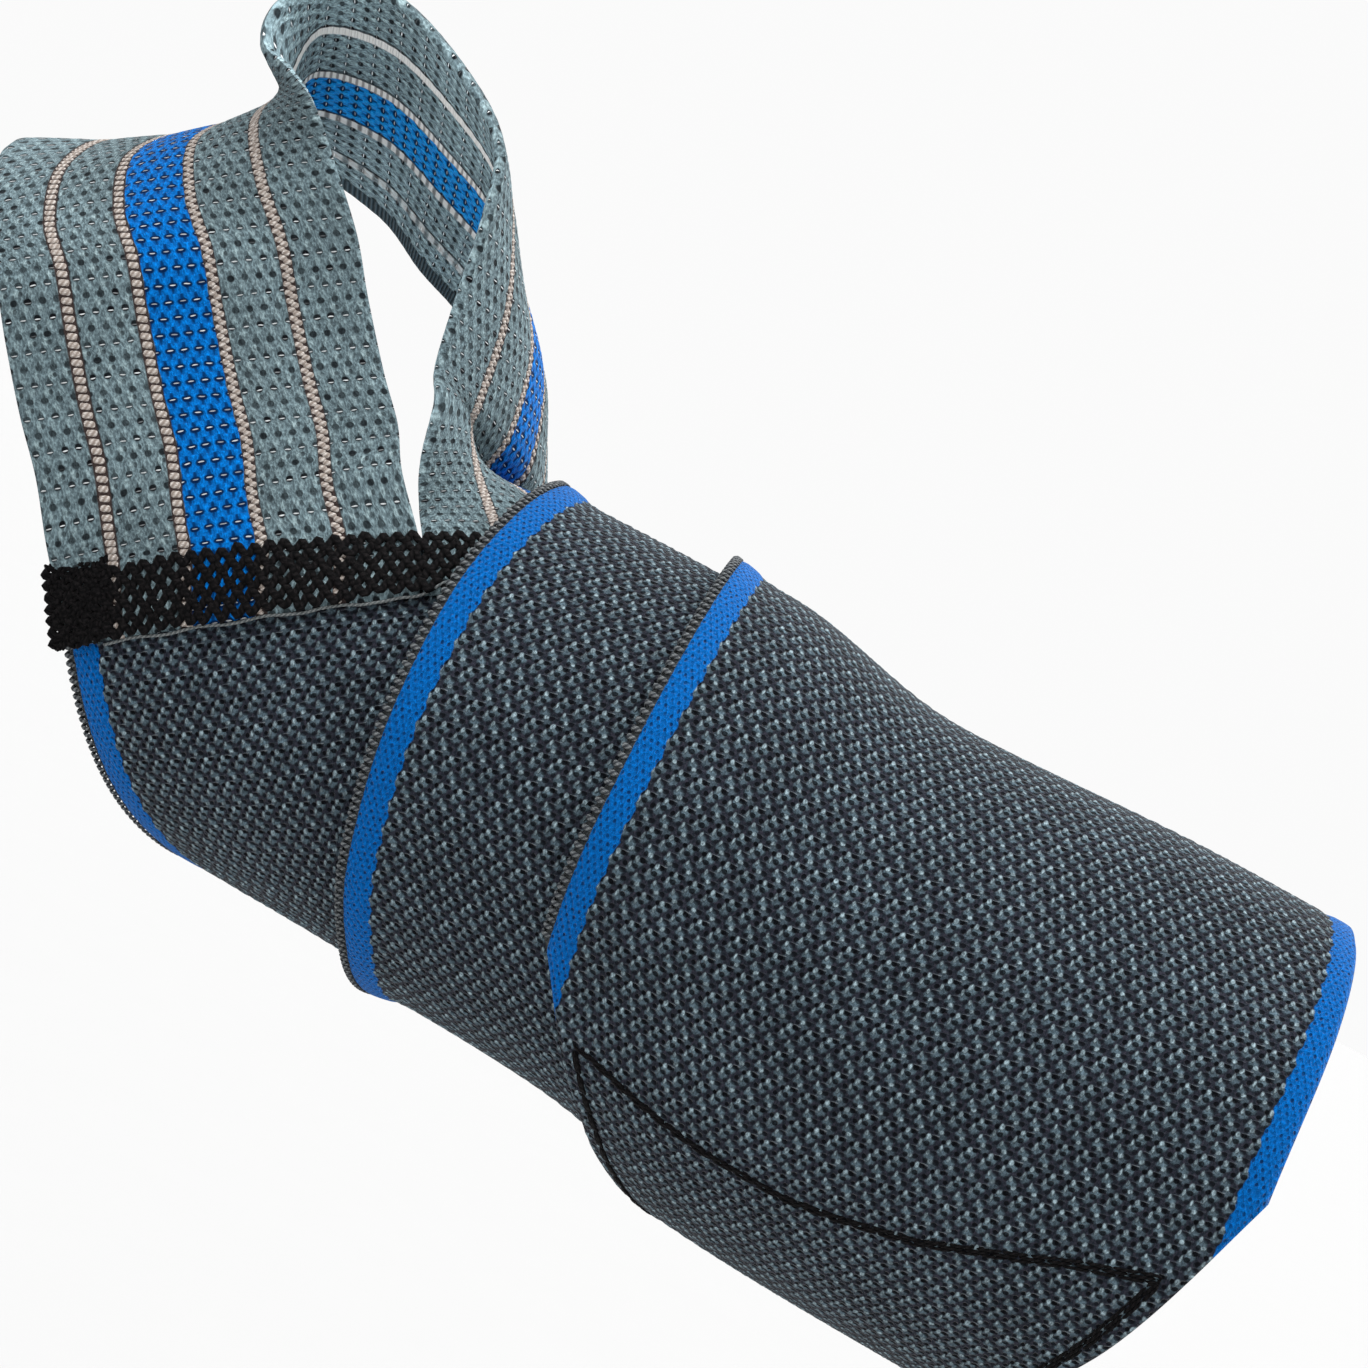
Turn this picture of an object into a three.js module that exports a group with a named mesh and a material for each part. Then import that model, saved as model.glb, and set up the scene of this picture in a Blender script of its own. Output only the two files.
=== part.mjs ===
// An elastic wrist wrap, wound two and a third turns as it is worn, with a thumb loop of striped strap.
// Millimetres, +Z up. X runs along the wrist, from the hand (-X) to the forearm (+X).
// The origin lies on the wrist's own line, so the hollow runs along the X axis.
// Pieces: wrap_band (one long strip), thumb_loop (one strap, both ends sewn to the strip's start)
// and hook_patch (the closure under the strip's tapered end).
import * as THREE from 'three';

// Driving sizes
const BAND_WIDTH = 76;
const BAND_THICKNESS = 1.3;
const STRAP_WIDTH = 38;
const STRAP_THICKNESS = 1.2;
const HOOK_THICKNESS = 1.0;
const HOOK_MARGIN = 4;
const LAYER_GAP = 0.35;
const EDGE_FLARE = 0.9;
const WRIST_HEIGHT = 50;
const WRIST_DEPTH = 43;
const LOOP_HEIGHT = 52;
const SEAM_OVERLAP = 7;
const TAB_SHOULDER = 726;
const TAB_TIP = 820;
const TAB_TIP_WIDTH = 30;

// How finely the cloth is divided
const BAND_STEP = 9;
const BAND_COLUMNS = 8;
const LOOP_COLUMNS = 6;
const LOOP_SUBDIVISIONS = 3;
const HOOK_COLUMNS = 4;
const CURVE_TENSION = 0.5;

const DEG = Math.PI / 180;
const WRIST_RADIUS = (WRIST_HEIGHT + WRIST_DEPTH) / 4;
// The wound strip's mean radius is this much larger than the bare wrist's.
const WOUND_GROWTH = 1.035;
const MM_PER_DEG = WRIST_RADIUS * WOUND_GROWTH * DEG;
const LAYER_PITCH = BAND_THICKNESS + LAYER_GAP;

// The wrist under the wrap. along and rise are shares of the band's width and the wrist's height,
// tall and deep are shares of the wrist's half height and half depth.
const WRIST_SECTIONS = [
  { along: -0.95, tall: 0.99, deep: 0.975, rise: 0.016 },
  { along: -0.59, tall: 0.99, deep: 0.975, rise: 0.02 },
  { along: -0.37, tall: 1.0, deep: 0.985, rise: 0.024 },
  { along: 0.0, tall: 1.01, deep: 1.015, rise: 0.018 },
  { along: 0.26, tall: 1.03, deep: 1.045, rise: -0.028 },
  { along: 0.66, tall: 1.06, deep: 1.08, rise: -0.024 },
  { along: 0.98, tall: 1.04, deep: 1.09, rise: -0.018 },
];

// The strip's middle line. turn is in degrees of winding: 0 is the front, 90 the underside, 180 the back
// and 270 the top. middle is a share of the band's width along X, and lean tilts the strip's cross line.
const WINDING = [
  { turn: -60, middle: -0.548, lean: 33.5 },
  { turn: -38, middle: -0.457, lean: 33.5 },
  { turn: 1, middle: -0.325, lean: 33.5 },
  { turn: 40, middle: -0.203, lean: 33 },
  { turn: 95, middle: -0.09, lean: 27 },
  { turn: 150, middle: -0.01, lean: 21 },
  { turn: 205, middle: 0.06, lean: 16 },
  { turn: 255, middle: 0.1, lean: 12 },
  { turn: 285, middle: 0.1, lean: 10 },
  { turn: 312, middle: 0.098, lean: 9 },
  { turn: 342, middle: 0.114, lean: 9 },
  { turn: 376, middle: 0.142, lean: 9 },
  { turn: 403, middle: 0.179, lean: 9 },
  { turn: 500, middle: 0.263, lean: 9 },
  { turn: 616, middle: 0.382, lean: 9 },
  { turn: 646, middle: 0.404, lean: 9 },
  { turn: 688, middle: 0.428, lean: 9 },
  { turn: 720, middle: 0.441, lean: 9 },
  { turn: 743, middle: 0.459, lean: 9 },
  { turn: 765, middle: 0.474, lean: 9 },
  { turn: 850, middle: 0.48, lean: 9 },
];
const WINDING_START = -44;

// Where the later turns are pushed out by the strap's ends under them, along X as shares of the band's
// width and round the wrist in degrees above the front. The first turn lies under the strap, so the push
// starts within LATER_TURN, in degrees of winding.
const STRAP_LIFT = {
  from: -0.6, fullFrom: -0.5, fullTo: -0.02, to: 0.3, lowest: -25, fullLow: 8, fullHigh: 150, highest: 200,
};
const LATER_TURN = { from: 175, full: 235 };
// Where the tapered end rises over the hook patch, in degrees of winding.
const TAB_LIFT = { from: 728, full: 750 };
// The later turns' hand edge flares a little: from this share of the half width, in these turns.
const FLARE_REACH = 0.84;
const FLARE_TURN = { from: 190, full: 250, fullTo: 690, to: 725 };

// The thumb loop between its sewn ends. The near edge's place is measured from the seam's middle in shares
// of the loop's height. across leads to the far edge, and crown bows the strap outward between the two,
// both as shares of the strap's width.
const LOOP_SECTIONS = [
  { near: [-0.1, 0.02, 0.1], across: [-0.74, -0.25, -0.62], crown: 0.03 },
  { near: [-0.16, 0.04, 0.18], across: [-0.76, -0.29, -0.59], crown: 0.03 },
  { near: [-0.24, 0.05, 0.26], across: [-0.76, -0.33, -0.57], crown: 0.02 },
  { near: [-0.34, 0.04, 0.38], across: [-0.74, -0.36, -0.57], crown: 0.0 },
  { near: [-0.41, 0.01, 0.48], across: [-0.74, -0.34, -0.57], crown: -0.02 },
  { near: [-0.5, -0.03, 0.58], across: [-0.71, -0.27, -0.62], crown: -0.12 },
  { near: [-0.59, -0.06, 0.67], across: [-0.7, -0.1, -0.61], crown: -0.25 },
  { near: [-0.67, -0.07, 0.71], across: [-0.73, 0.2, -0.55], crown: -0.36 },
  { near: [-0.76, -0.04, 0.74], across: [-0.64, 0.54, -0.53], crown: -0.35 },
  { near: [-0.8, 0.03, 0.83], across: [-0.45, 0.74, -0.53], crown: -0.19 },
  { near: [-0.75, 0.09, 0.93], across: [-0.17, 0.83, -0.49], crown: -0.05 },
  { near: [-0.61, 0.14, 0.96], across: [-0.04, 0.83, -0.55], crown: 0.0 },
  { near: [-0.42, 0.16, 0.89], across: [-0.09, 0.82, -0.55], crown: 0.03 },
  { near: [-0.28, 0.15, 0.79], across: [-0.13, 0.86, -0.47], crown: 0.06 },
  { near: [-0.23, 0.13, 0.65], across: [-0.05, 0.91, -0.36], crown: 0.1 },
  { near: [-0.2, 0.11, 0.49], across: [0.12, 0.92, -0.24], crown: 0.12 },
  { near: [-0.16, 0.08, 0.33], across: [0.27, 0.85, -0.27], crown: 0.08 },
];

// The loop's second end runs up under the next turn. Both edges follow the wrist: x is a share of the
// band's width and angle is in degrees above the front. free is how far the near edge stands off the
// wrist, as a share of the loop's height, and it settles within SETTLED_SHARE of the strap's width.
const TUCKED_SECTIONS = [
  { near: { x: -0.56, angle: 64 }, far: { x: -0.44, angle: 137 }, free: 0.17 },
  { near: { x: -0.54, angle: 58 }, far: { x: -0.3, angle: 126 }, free: 0.06 },
  { near: { x: -0.51, angle: 52 }, far: { x: -0.16, angle: 108 }, free: 0.0 },
];
const SETTLED_SHARE = 0.42;

function lerp(a, b, t) {
  return a + (b - a) * t;
}

function smooth(from, to, value) {
  return THREE.MathUtils.smoothstep(value, from, to);
}

// One value through the points of a table, on a smooth curve.
function track(table, key, field, at) {
  let i = 0;
  while (i < table.length - 2 && at > table[i + 1][key]) {
    i += 1;
  }
  const [a, b] = [table[i], table[i + 1]];
  const before = table[Math.max(i - 1, 0)];
  const after = table[Math.min(i + 2, table.length - 1)];
  const span = b[key] - a[key];
  const t = THREE.MathUtils.clamp((at - a[key]) / span, 0, 1);
  const slopeIn = ((b[field] - before[field]) / (b[key] - before[key])) * span;
  const slopeOut = ((after[field] - a[field]) / (after[key] - a[key])) * span;
  const t2 = t * t;
  const t3 = t2 * t;
  return (2 * t3 - 3 * t2 + 1) * a[field] + (t3 - 2 * t2 + t) * slopeIn
    + (3 * t2 - 2 * t3) * b[field] + (t3 - t2) * slopeOut;
}

// A point on the wrist at x, at an angle above the front, pushed out by offset.
function onWrist(x, angle, offset) {
  const along = x / BAND_WIDTH;
  const tall = (track(WRIST_SECTIONS, 'along', 'tall', along) * WRIST_HEIGHT) / 2 + offset;
  const deep = (track(WRIST_SECTIONS, 'along', 'deep', along) * WRIST_DEPTH) / 2 + offset;
  const rise = track(WRIST_SECTIONS, 'along', 'rise', along) * WRIST_HEIGHT;
  return new THREE.Vector3(x, -deep * Math.cos(angle * DEG), rise + tall * Math.sin(angle * DEG));
}

// How wide the strip is at a turn: full, then tapering to the tab's tip.
function halfWidth(turn) {
  const taper = THREE.MathUtils.clamp((turn - TAB_SHOULDER) / (TAB_TIP - TAB_SHOULDER), 0, 1);
  return lerp(BAND_WIDTH, TAB_TIP_WIDTH, taper) / 2;
}

// Where the strip lies: x, the winding angle and the layers' own push outward. side runs from -1 at the
// hand edge to 1 at the forearm edge.
function onStrip(turn, side, half = halfWidth(turn)) {
  const lean = track(WINDING, 'turn', 'lean', turn) * DEG;
  const middle = track(WINDING, 'turn', 'middle', turn) * BAND_WIDTH;
  const x = middle + side * half * Math.cos(lean);
  const wound = turn - (side * half * Math.sin(lean)) / MM_PER_DEG;
  const turns = Math.max(turn - WINDING_START, 0) / 360;
  return { x, wound, push: turns * LAYER_PITCH };
}

// The push outward over the strap's sewn ends, which only the second and third turns have.
function strapLift(x, wound) {
  const { from, fullFrom, fullTo, to, lowest, fullLow, fullHigh, highest } = STRAP_LIFT;
  const along = x / BAND_WIDTH;
  const acrossX = smooth(from, fullFrom, along) * (1 - smooth(fullTo, to, along));
  const up = ((-wound + 90) % 360 + 360) % 360 - 90;
  const round = smooth(lowest, fullLow, up) * (1 - smooth(fullHigh, highest, up));
  const later = smooth(LATER_TURN.from, LATER_TURN.full, wound);
  return (STRAP_THICKNESS + 2 * LAYER_GAP) * acrossX * round * later;
}

function stripPoint(turn, side, offset) {
  const { x, wound, push } = onStrip(turn, side);
  const tab = (HOOK_THICKNESS + LAYER_GAP) * smooth(TAB_LIFT.from, TAB_LIFT.full, turn);
  const flared = smooth(FLARE_TURN.from, FLARE_TURN.full, turn) * (1 - smooth(FLARE_TURN.fullTo, FLARE_TURN.to, turn));
  const flare = EDGE_FLARE * smooth(FLARE_REACH, 1, -side) * flared;
  return onWrist(x, -wound, push + strapLift(x, wound) + tab + flare + offset);
}

// A closed body from two grids of points, the inner and the outer face, joined round their rim.
function clothBody(inner, outer) {
  const rows = inner.length;
  const columns = inner[0].length;
  const positions = [];
  const indices = [];
  const index = (face, r, c) => face * rows * columns + r * columns + c;
  for (const grid of [inner, outer]) {
    for (const row of grid) {
      for (const p of row) {
        positions.push(p.x, p.y, p.z);
      }
    }
  }
  const quad = (a, b, c, d) => indices.push(a, b, c, a, c, d);
  for (let r = 0; r < rows - 1; r += 1) {
    for (let c = 0; c < columns - 1; c += 1) {
      quad(index(1, r, c), index(1, r + 1, c), index(1, r + 1, c + 1), index(1, r, c + 1));
      quad(index(0, r, c), index(0, r, c + 1), index(0, r + 1, c + 1), index(0, r + 1, c));
    }
    quad(index(0, r, 0), index(0, r + 1, 0), index(1, r + 1, 0), index(1, r, 0));
    const last = columns - 1;
    quad(index(0, r, last), index(1, r, last), index(1, r + 1, last), index(0, r + 1, last));
  }
  for (let c = 0; c < columns - 1; c += 1) {
    quad(index(0, 0, c), index(1, 0, c), index(1, 0, c + 1), index(0, 0, c + 1));
    const end = rows - 1;
    quad(index(0, end, c), index(0, end, c + 1), index(1, end, c + 1), index(1, end, c));
  }
  const geometry = new THREE.BufferGeometry();
  geometry.setAttribute('position', new THREE.Float32BufferAttribute(positions, 3));
  geometry.setIndex(indices);
  geometry.computeVertexNormals();
  return geometry;
}

function gridOf(rows, columns, point) {
  return Array.from({ length: rows + 1 }, (_, r) => (
    Array.from({ length: columns + 1 }, (__, c) => point(r / rows, c / columns))
  ));
}

function bandGeometry() {
  const rows = Math.round((TAB_TIP - WINDING_START) / BAND_STEP);
  const face = (offset) => gridOf(rows, BAND_COLUMNS, (along, across) => (
    stripPoint(lerp(WINDING_START, TAB_TIP, along), 2 * across - 1, offset)
  ));
  return clothBody(face(0), face(BAND_THICKNESS));
}

// The patch lies under the tapered end, a margin inside its outline, on the turn below.
function hookGeometry() {
  const marginTurn = HOOK_MARGIN / MM_PER_DEG;
  const [start, end] = [TAB_LIFT.full + marginTurn, TAB_TIP - marginTurn];
  const rows = Math.round((end - start) / BAND_STEP);
  const face = (offset) => gridOf(rows, HOOK_COLUMNS, (along, across) => {
    const turn = lerp(start, end, along);
    const side = (2 * across - 1) * (1 - HOOK_MARGIN / halfWidth(turn));
    const { x, wound, push } = onStrip(turn, side);
    return onWrist(x, -wound, push + strapLift(x, wound) + offset);
  });
  return clothBody(face(0), face(HOOK_THICKNESS));
}

// Rows of points across the strap, from its near edge to its far edge, on the strap's middle surface.
const STRAP_SEAT = BAND_THICKNESS + LAYER_GAP + STRAP_THICKNESS / 2;

// A sewn end on the strip's start. back is how far it reaches down over the strip from the strip's edge.
function sewnRow(back, nearSide, farSide) {
  return Array.from({ length: LOOP_COLUMNS + 1 }, (_, c) => {
    const side = lerp(nearSide, farSide, c / LOOP_COLUMNS);
    const travel = back / (MM_PER_DEG / Math.cos(WINDING[0].lean * DEG));
    const { x, wound } = onStrip(WINDING_START + travel, side, BAND_WIDTH / 2);
    return onWrist(x, -wound, STRAP_SEAT);
  });
}

function tuckedRow({ near, far, free }) {
  return Array.from({ length: LOOP_COLUMNS + 1 }, (_, c) => {
    const t = c / LOOP_COLUMNS;
    const x = lerp(near.x, far.x, t) * BAND_WIDTH;
    const stand = free * LOOP_HEIGHT * (1 - smooth(0, SETTLED_SHARE, t));
    return onWrist(x, lerp(near.angle, far.angle, t), STRAP_SEAT + stand);
  });
}

function airRow(section, along, seamMiddle) {
  const near = new THREE.Vector3(...section.near).multiplyScalar(LOOP_HEIGHT).add(seamMiddle);
  const across = new THREE.Vector3(...section.across).multiplyScalar(STRAP_WIDTH);
  const outward = new THREE.Vector3().crossVectors(along, across).normalize();
  return Array.from({ length: LOOP_COLUMNS + 1 }, (_, c) => {
    const t = c / LOOP_COLUMNS;
    const bow = 4 * t * (1 - t) * section.crown * STRAP_WIDTH;
    return near.clone().addScaledVector(across, t).addScaledVector(outward, bow);
  });
}

function loopRows() {
  const gapSide = LAYER_GAP / BAND_WIDTH;
  const farSide = (2 * STRAP_WIDTH) / BAND_WIDTH;
  const first = [SEAM_OVERLAP, SEAM_OVERLAP / 2, 0].map((back) => sewnRow(back, -gapSide, -farSide));
  const seamMiddle = first[2][0];
  const last = [0, SEAM_OVERLAP / 2, SEAM_OVERLAP].map((back) => sewnRow(back, gapSide, farSide));
  const nearPlaces = LOOP_SECTIONS.map(({ near }) => new THREE.Vector3(...near));
  const air = LOOP_SECTIONS.map((section, i) => {
    const before = nearPlaces[Math.max(i - 1, 0)];
    const after = nearPlaces[Math.min(i + 1, nearPlaces.length - 1)];
    return airRow(section, after.clone().sub(before), seamMiddle);
  });
  return [...first, ...air, ...TUCKED_SECTIONS.map(tuckedRow), ...last];
}

function loopGeometry() {
  const sections = loopRows();
  const curves = Array.from({ length: LOOP_COLUMNS + 1 }, (_, c) => (
    new THREE.CatmullRomCurve3(sections.map((row) => row[c]), false, 'catmullrom', CURVE_TENSION)
  ));
  const steps = (sections.length - 1) * LOOP_SUBDIVISIONS;
  const middle = Array.from({ length: steps + 1 }, (_, r) => curves.map((curve) => curve.getPoint(r / steps)));
  const face = (offset) => middle.map((row, r) => row.map((p, c) => {
    const along = middle[Math.min(r + 1, steps)][c].clone().sub(middle[Math.max(r - 1, 0)][c]);
    const across = row[Math.min(c + 1, LOOP_COLUMNS)].clone().sub(row[Math.max(c - 1, 0)]);
    return p.clone().addScaledVector(along.cross(across).normalize(), offset);
  }));
  return clothBody(face(-STRAP_THICKNESS / 2), face(STRAP_THICKNESS / 2));
}

function piece(name, geometry, color, roughness) {
  const material = new THREE.MeshStandardMaterial({ color, roughness, metalness: 0 });
  const mesh = new THREE.Mesh(geometry, material);
  mesh.name = name;
  return mesh;
}

const wristWrap = new THREE.Group();
wristWrap.add(
  piece('wrap_band', bandGeometry(), 0x4a545a, 0.9),
  piece('thumb_loop', loopGeometry(), 0x6c8083, 0.88),
  piece('hook_patch', hookGeometry(), 0x22262a, 0.8),
);

export default wristWrap;
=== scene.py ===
"""The looks of an elastic wrist wrap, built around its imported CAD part.

Sizes are in millimetres and turn into metres only where a mesh, a light or the camera is made.
X runs along the wrist from the hand to the forearm, -Y faces the camera and Z is up.
Every thread follows the strip or the strap that it is sewn to, so all pieces share two surfaces.
"""

import logging
import math
from dataclasses import dataclass, field
from enum import Enum
from typing import NamedTuple, Sequence

import bmesh
import bpy
import numpy as np
from mathutils import Matrix, Vector


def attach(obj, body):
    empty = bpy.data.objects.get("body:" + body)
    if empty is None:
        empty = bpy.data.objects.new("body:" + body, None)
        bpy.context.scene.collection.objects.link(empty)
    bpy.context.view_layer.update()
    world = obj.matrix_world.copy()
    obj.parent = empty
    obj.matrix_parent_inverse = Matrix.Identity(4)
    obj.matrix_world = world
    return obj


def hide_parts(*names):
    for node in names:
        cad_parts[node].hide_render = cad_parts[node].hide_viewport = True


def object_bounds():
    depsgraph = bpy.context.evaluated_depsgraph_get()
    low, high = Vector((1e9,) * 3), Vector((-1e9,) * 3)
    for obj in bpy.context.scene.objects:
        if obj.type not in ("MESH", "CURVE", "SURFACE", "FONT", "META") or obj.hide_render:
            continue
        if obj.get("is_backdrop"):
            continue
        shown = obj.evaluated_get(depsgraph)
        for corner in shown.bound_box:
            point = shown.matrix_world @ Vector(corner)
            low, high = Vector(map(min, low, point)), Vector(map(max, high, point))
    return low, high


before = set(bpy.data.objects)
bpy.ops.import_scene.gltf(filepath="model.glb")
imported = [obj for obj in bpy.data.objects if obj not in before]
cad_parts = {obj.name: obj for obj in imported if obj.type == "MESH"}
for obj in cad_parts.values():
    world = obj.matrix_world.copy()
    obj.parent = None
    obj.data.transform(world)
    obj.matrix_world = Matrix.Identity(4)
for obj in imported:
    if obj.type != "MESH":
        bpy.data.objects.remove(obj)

LOG = logging.getLogger("wrist_wrap")
METRE = 0.001
UV_MM = 100.0
BODY = "root"
SHEEN_ROUGHNESS = 0.3
SPECULAR_LEVEL = 0.06
Array = np.ndarray
Colour = tuple[float, float, float]
Spot = tuple[float, float, float, float, float]


def linear(red: int, green: int, blue: int) -> Colour:
    """Turns a colour of 0 to 255 as seen on a screen into linear light.

    Args:
        red, green, blue: The screen's levels.

    Returns:
        The three linear values.
    """
    shares = [level / 255 for level in (red, green, blue)]
    return tuple(s / 12.92 if s <= 0.04045 else ((s + 0.055) / 1.055) ** 2.4 for s in shares)


def smooth(low: float, high: float, value: Array) -> Array:
    """A smooth step from 0 at low to 1 at high.

    Args:
        low, high: Where the step starts and ends.
        value: The places to read it at.

    Returns:
        The step's height at each place.
    """
    t = np.clip((value - low) / (high - low), 0, 1)
    return t * t * (3 - 2 * t)


def track(table: Sequence[NamedTuple], key: str, column: str, at: Array) -> Array:
    """One column of a table, read on a smooth curve through its rows.

    Args:
        table: The rows, in rising order of their key.
        key: The column that the curve runs along.
        column: The column to read.
        at: Where to read it.

    Returns:
        The column's value at each place.
    """
    keys = np.array([getattr(row, key) for row in table])
    values = np.array([getattr(row, column) for row in table])
    i = np.clip(np.searchsorted(keys, at, side="left") - 1, 0, len(keys) - 2)
    before = np.maximum(i - 1, 0)
    after = np.minimum(i + 2, len(keys) - 1)
    span = keys[i + 1] - keys[i]
    t = np.clip((at - keys[i]) / span, 0, 1)
    slope_in = (values[i + 1] - values[before]) / (keys[i + 1] - keys[before]) * span
    slope_out = (values[after] - values[i]) / (keys[after] - keys[i]) * span
    t2 = t * t
    t3 = t2 * t
    return (
        (2 * t3 - 3 * t2 + 1) * values[i]
        + (t3 - 2 * t2 + t) * slope_in
        + (3 * t2 - 2 * t3) * values[i + 1]
        + (t3 - t2) * slope_out
    )


def spline(points: Array, at: Array) -> Array:
    """A smooth curve through points, with one unit of travel from each to the next.

    Args:
        points: The points, along the first axis.
        at: The travel at which to read the curve.

    Returns:
        The curve's points, one for each place.
    """
    first = 2 * points[0] - points[1]
    last = 2 * points[-1] - points[-2]
    held = np.concatenate([first[None], points, last[None]])
    i = np.clip(np.floor(at).astype(int), 0, len(points) - 2)
    t = (at - i).reshape(-1, *[1] * (points.ndim - 1))
    a, b, c, d = (held[i + k] for k in range(4))
    return b + 0.5 * t * (c - a + t * (2 * a - 5 * b + 4 * c - d + t * (3 * (b - c) + d - a)))


def unit(vectors: Array) -> Array:
    """The vectors at length one."""
    return vectors / np.maximum(np.linalg.norm(vectors, axis=-1, keepdims=True), 1e-12)


def bell(value: Array, width: float) -> Array:
    """A soft bump of height one round zero."""
    return np.exp(-((value / width) ** 2))


class Face(Enum):
    """The two faces of a cloth."""

    INNER = 0
    OUTER = 1


class WristSection(NamedTuple):
    """The wrist at one place, as shares of the strip's width and of the wrist's height and depth."""

    along: float
    tall: float
    deep: float
    rise: float


class WindingRow(NamedTuple):
    """The strip's middle line at one turn: degrees of winding, a share of its width along X, and its lean."""

    turn: float
    middle: float
    lean: float


class LoopRow(NamedTuple):
    """The strap where it stands free: its near edge, the way across to its far edge and its outward bow."""

    near: tuple[float, float, float]
    across: tuple[float, float, float]
    crown: float


class TuckedRow(NamedTuple):
    """The strap under the next turn: x and angle of its near and far edge, and how far it stands off."""

    near_x: float
    near_angle: float
    far_x: float
    far_angle: float
    free: float


@dataclass
class Wrist:
    """The wrist's own form, which everything is wound round."""

    height: float = 50.0
    depth: float = 43.0
    growth: float = 1.035
    share_of: float = 76.0
    sections: tuple[WristSection, ...] = (
        WristSection(-0.95, 0.99, 0.975, 0.016),
        WristSection(-0.59, 0.99, 0.975, 0.02),
        WristSection(-0.37, 1.0, 0.985, 0.024),
        WristSection(0.0, 1.01, 1.015, 0.018),
        WristSection(0.26, 1.03, 1.045, -0.028),
        WristSection(0.66, 1.06, 1.08, -0.024),
        WristSection(0.98, 1.04, 1.09, -0.018),
    )

    @property
    def mm_per_degree(self) -> float:
        """How far the strip travels round the wrist in one degree."""
        return (self.height + self.depth) / 4 * self.growth * math.radians(1)

    def point(self, x: Array, angle: Array, offset: Array) -> Array:
        """Points over the wrist.

        Args:
            x: Places along the wrist.
            angle: Degrees above the front.
            offset: How far out from the wrist.

        Returns:
            The points, with their three coordinates on the last axis.
        """
        along = x / self.share_of
        tall = track(self.sections, "along", "tall", along) * self.height / 2 + offset
        deep = track(self.sections, "along", "deep", along) * self.depth / 2 + offset
        rise = track(self.sections, "along", "rise", along) * self.height
        turned = np.radians(angle)
        return np.stack([x + 0 * turned, -deep * np.cos(turned), rise + tall * np.sin(turned)], -1)


@dataclass
class Strip:
    """The long elastic strip as it is wound: where any place of it lies."""

    wrist: Wrist
    width: float = 76.0
    thickness: float = 1.3
    gap: float = 0.35
    strap_thickness: float = 1.2
    hook_thickness: float = 1.0
    flare: float = 0.9
    flare_reach: float = 0.84
    start: float = -44.0
    shoulder: float = 726.0
    tip: float = 820.0
    tip_width: float = 30.0
    winding: tuple[WindingRow, ...] = (
        WindingRow(-60, -0.548, 33.5),
        WindingRow(-38, -0.457, 33.5),
        WindingRow(1, -0.325, 33.5),
        WindingRow(40, -0.203, 33),
        WindingRow(95, -0.09, 27),
        WindingRow(150, -0.01, 21),
        WindingRow(205, 0.06, 16),
        WindingRow(255, 0.1, 12),
        WindingRow(285, 0.1, 10),
        WindingRow(312, 0.098, 9),
        WindingRow(342, 0.114, 9),
        WindingRow(376, 0.142, 9),
        WindingRow(403, 0.179, 9),
        WindingRow(500, 0.263, 9),
        WindingRow(616, 0.382, 9),
        WindingRow(646, 0.404, 9),
        WindingRow(688, 0.428, 9),
        WindingRow(720, 0.441, 9),
        WindingRow(743, 0.459, 9),
        WindingRow(765, 0.474, 9),
        WindingRow(850, 0.48, 9),
    )

    def half(self, turn: Array) -> Array:
        """Half the strip's width, which narrows towards the tip."""
        taper = np.clip((turn - self.shoulder) / (self.tip - self.shoulder), 0, 1)
        return (self.width + (self.tip_width - self.width) * taper) / 2

    def lay(self, turn: Array, across: Array) -> tuple[Array, Array, Array]:
        """Where a place of the flat strip comes to lie.

        Args:
            turn: Degrees of winding along the strip's middle.
            across: Millimetres from the middle, negative towards the hand.

        Returns:
            x, the degrees wound there, and the push outward by the turns below.
        """
        lean = np.radians(track(self.winding, "turn", "lean", turn))
        x = track(self.winding, "turn", "middle", turn) * self.width + across * np.cos(lean)
        wound = turn - across * np.sin(lean) / self.wrist.mm_per_degree
        push = np.maximum(turn - self.start, 0) / 360 * (self.thickness + self.gap)
        return x, wound, push

    def strap_lift(self, x: Array, wound: Array) -> Array:
        """The push outward over the strap's sewn ends, which only the later turns have.

        Args:
            x: Places along the wrist.
            wound: Degrees wound there.

        Returns:
            The push in millimetres.
        """
        along = x / self.width
        span = smooth(-0.6, -0.5, along) * (1 - smooth(-0.02, 0.3, along))
        up = (-wound + 90) % 360 - 90
        arc = smooth(-25, 8, up) * (1 - smooth(150, 200, up))
        return (self.strap_thickness + 2 * self.gap) * span * arc * smooth(175, 235, wound)

    def point(self, turn: Array, across: Array, offset: Array) -> Array:
        """Points of the strip.

        Args:
            turn: Degrees of winding along the strip's middle.
            across: Millimetres from the middle, negative towards the hand.
            offset: Millimetres out from its inner face.

        Returns:
            The points, with their three coordinates on the last axis.
        """
        turn, across, offset = np.broadcast_arrays(
            *(np.asarray(v, float) for v in (turn, across, offset))
        )
        x, wound, push = self.lay(turn, across)
        tab = (self.hook_thickness + self.gap) * smooth(728, 750, turn)
        flared = smooth(190, 250, turn) * (1 - smooth(690, 725, turn))
        side = across / self.half(turn)
        flare = self.flare * smooth(self.flare_reach, 1, -side) * flared
        lift = push + self.strap_lift(x, wound) + tab + flare + offset
        return self.wrist.point(x, -wound, lift)

    def travel(self, turns: Array) -> Array:
        """The strip's own length at each of these turns, measured along its middle.

        Args:
            turns: Rising degrees of winding.

        Returns:
            Millimetres from the first of them.
        """
        steps = np.linalg.norm(np.diff(self.point(turns, 0.0, self.thickness / 2), axis=0), axis=-1)
        return np.concatenate([[0.0], np.cumsum(steps)])


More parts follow.
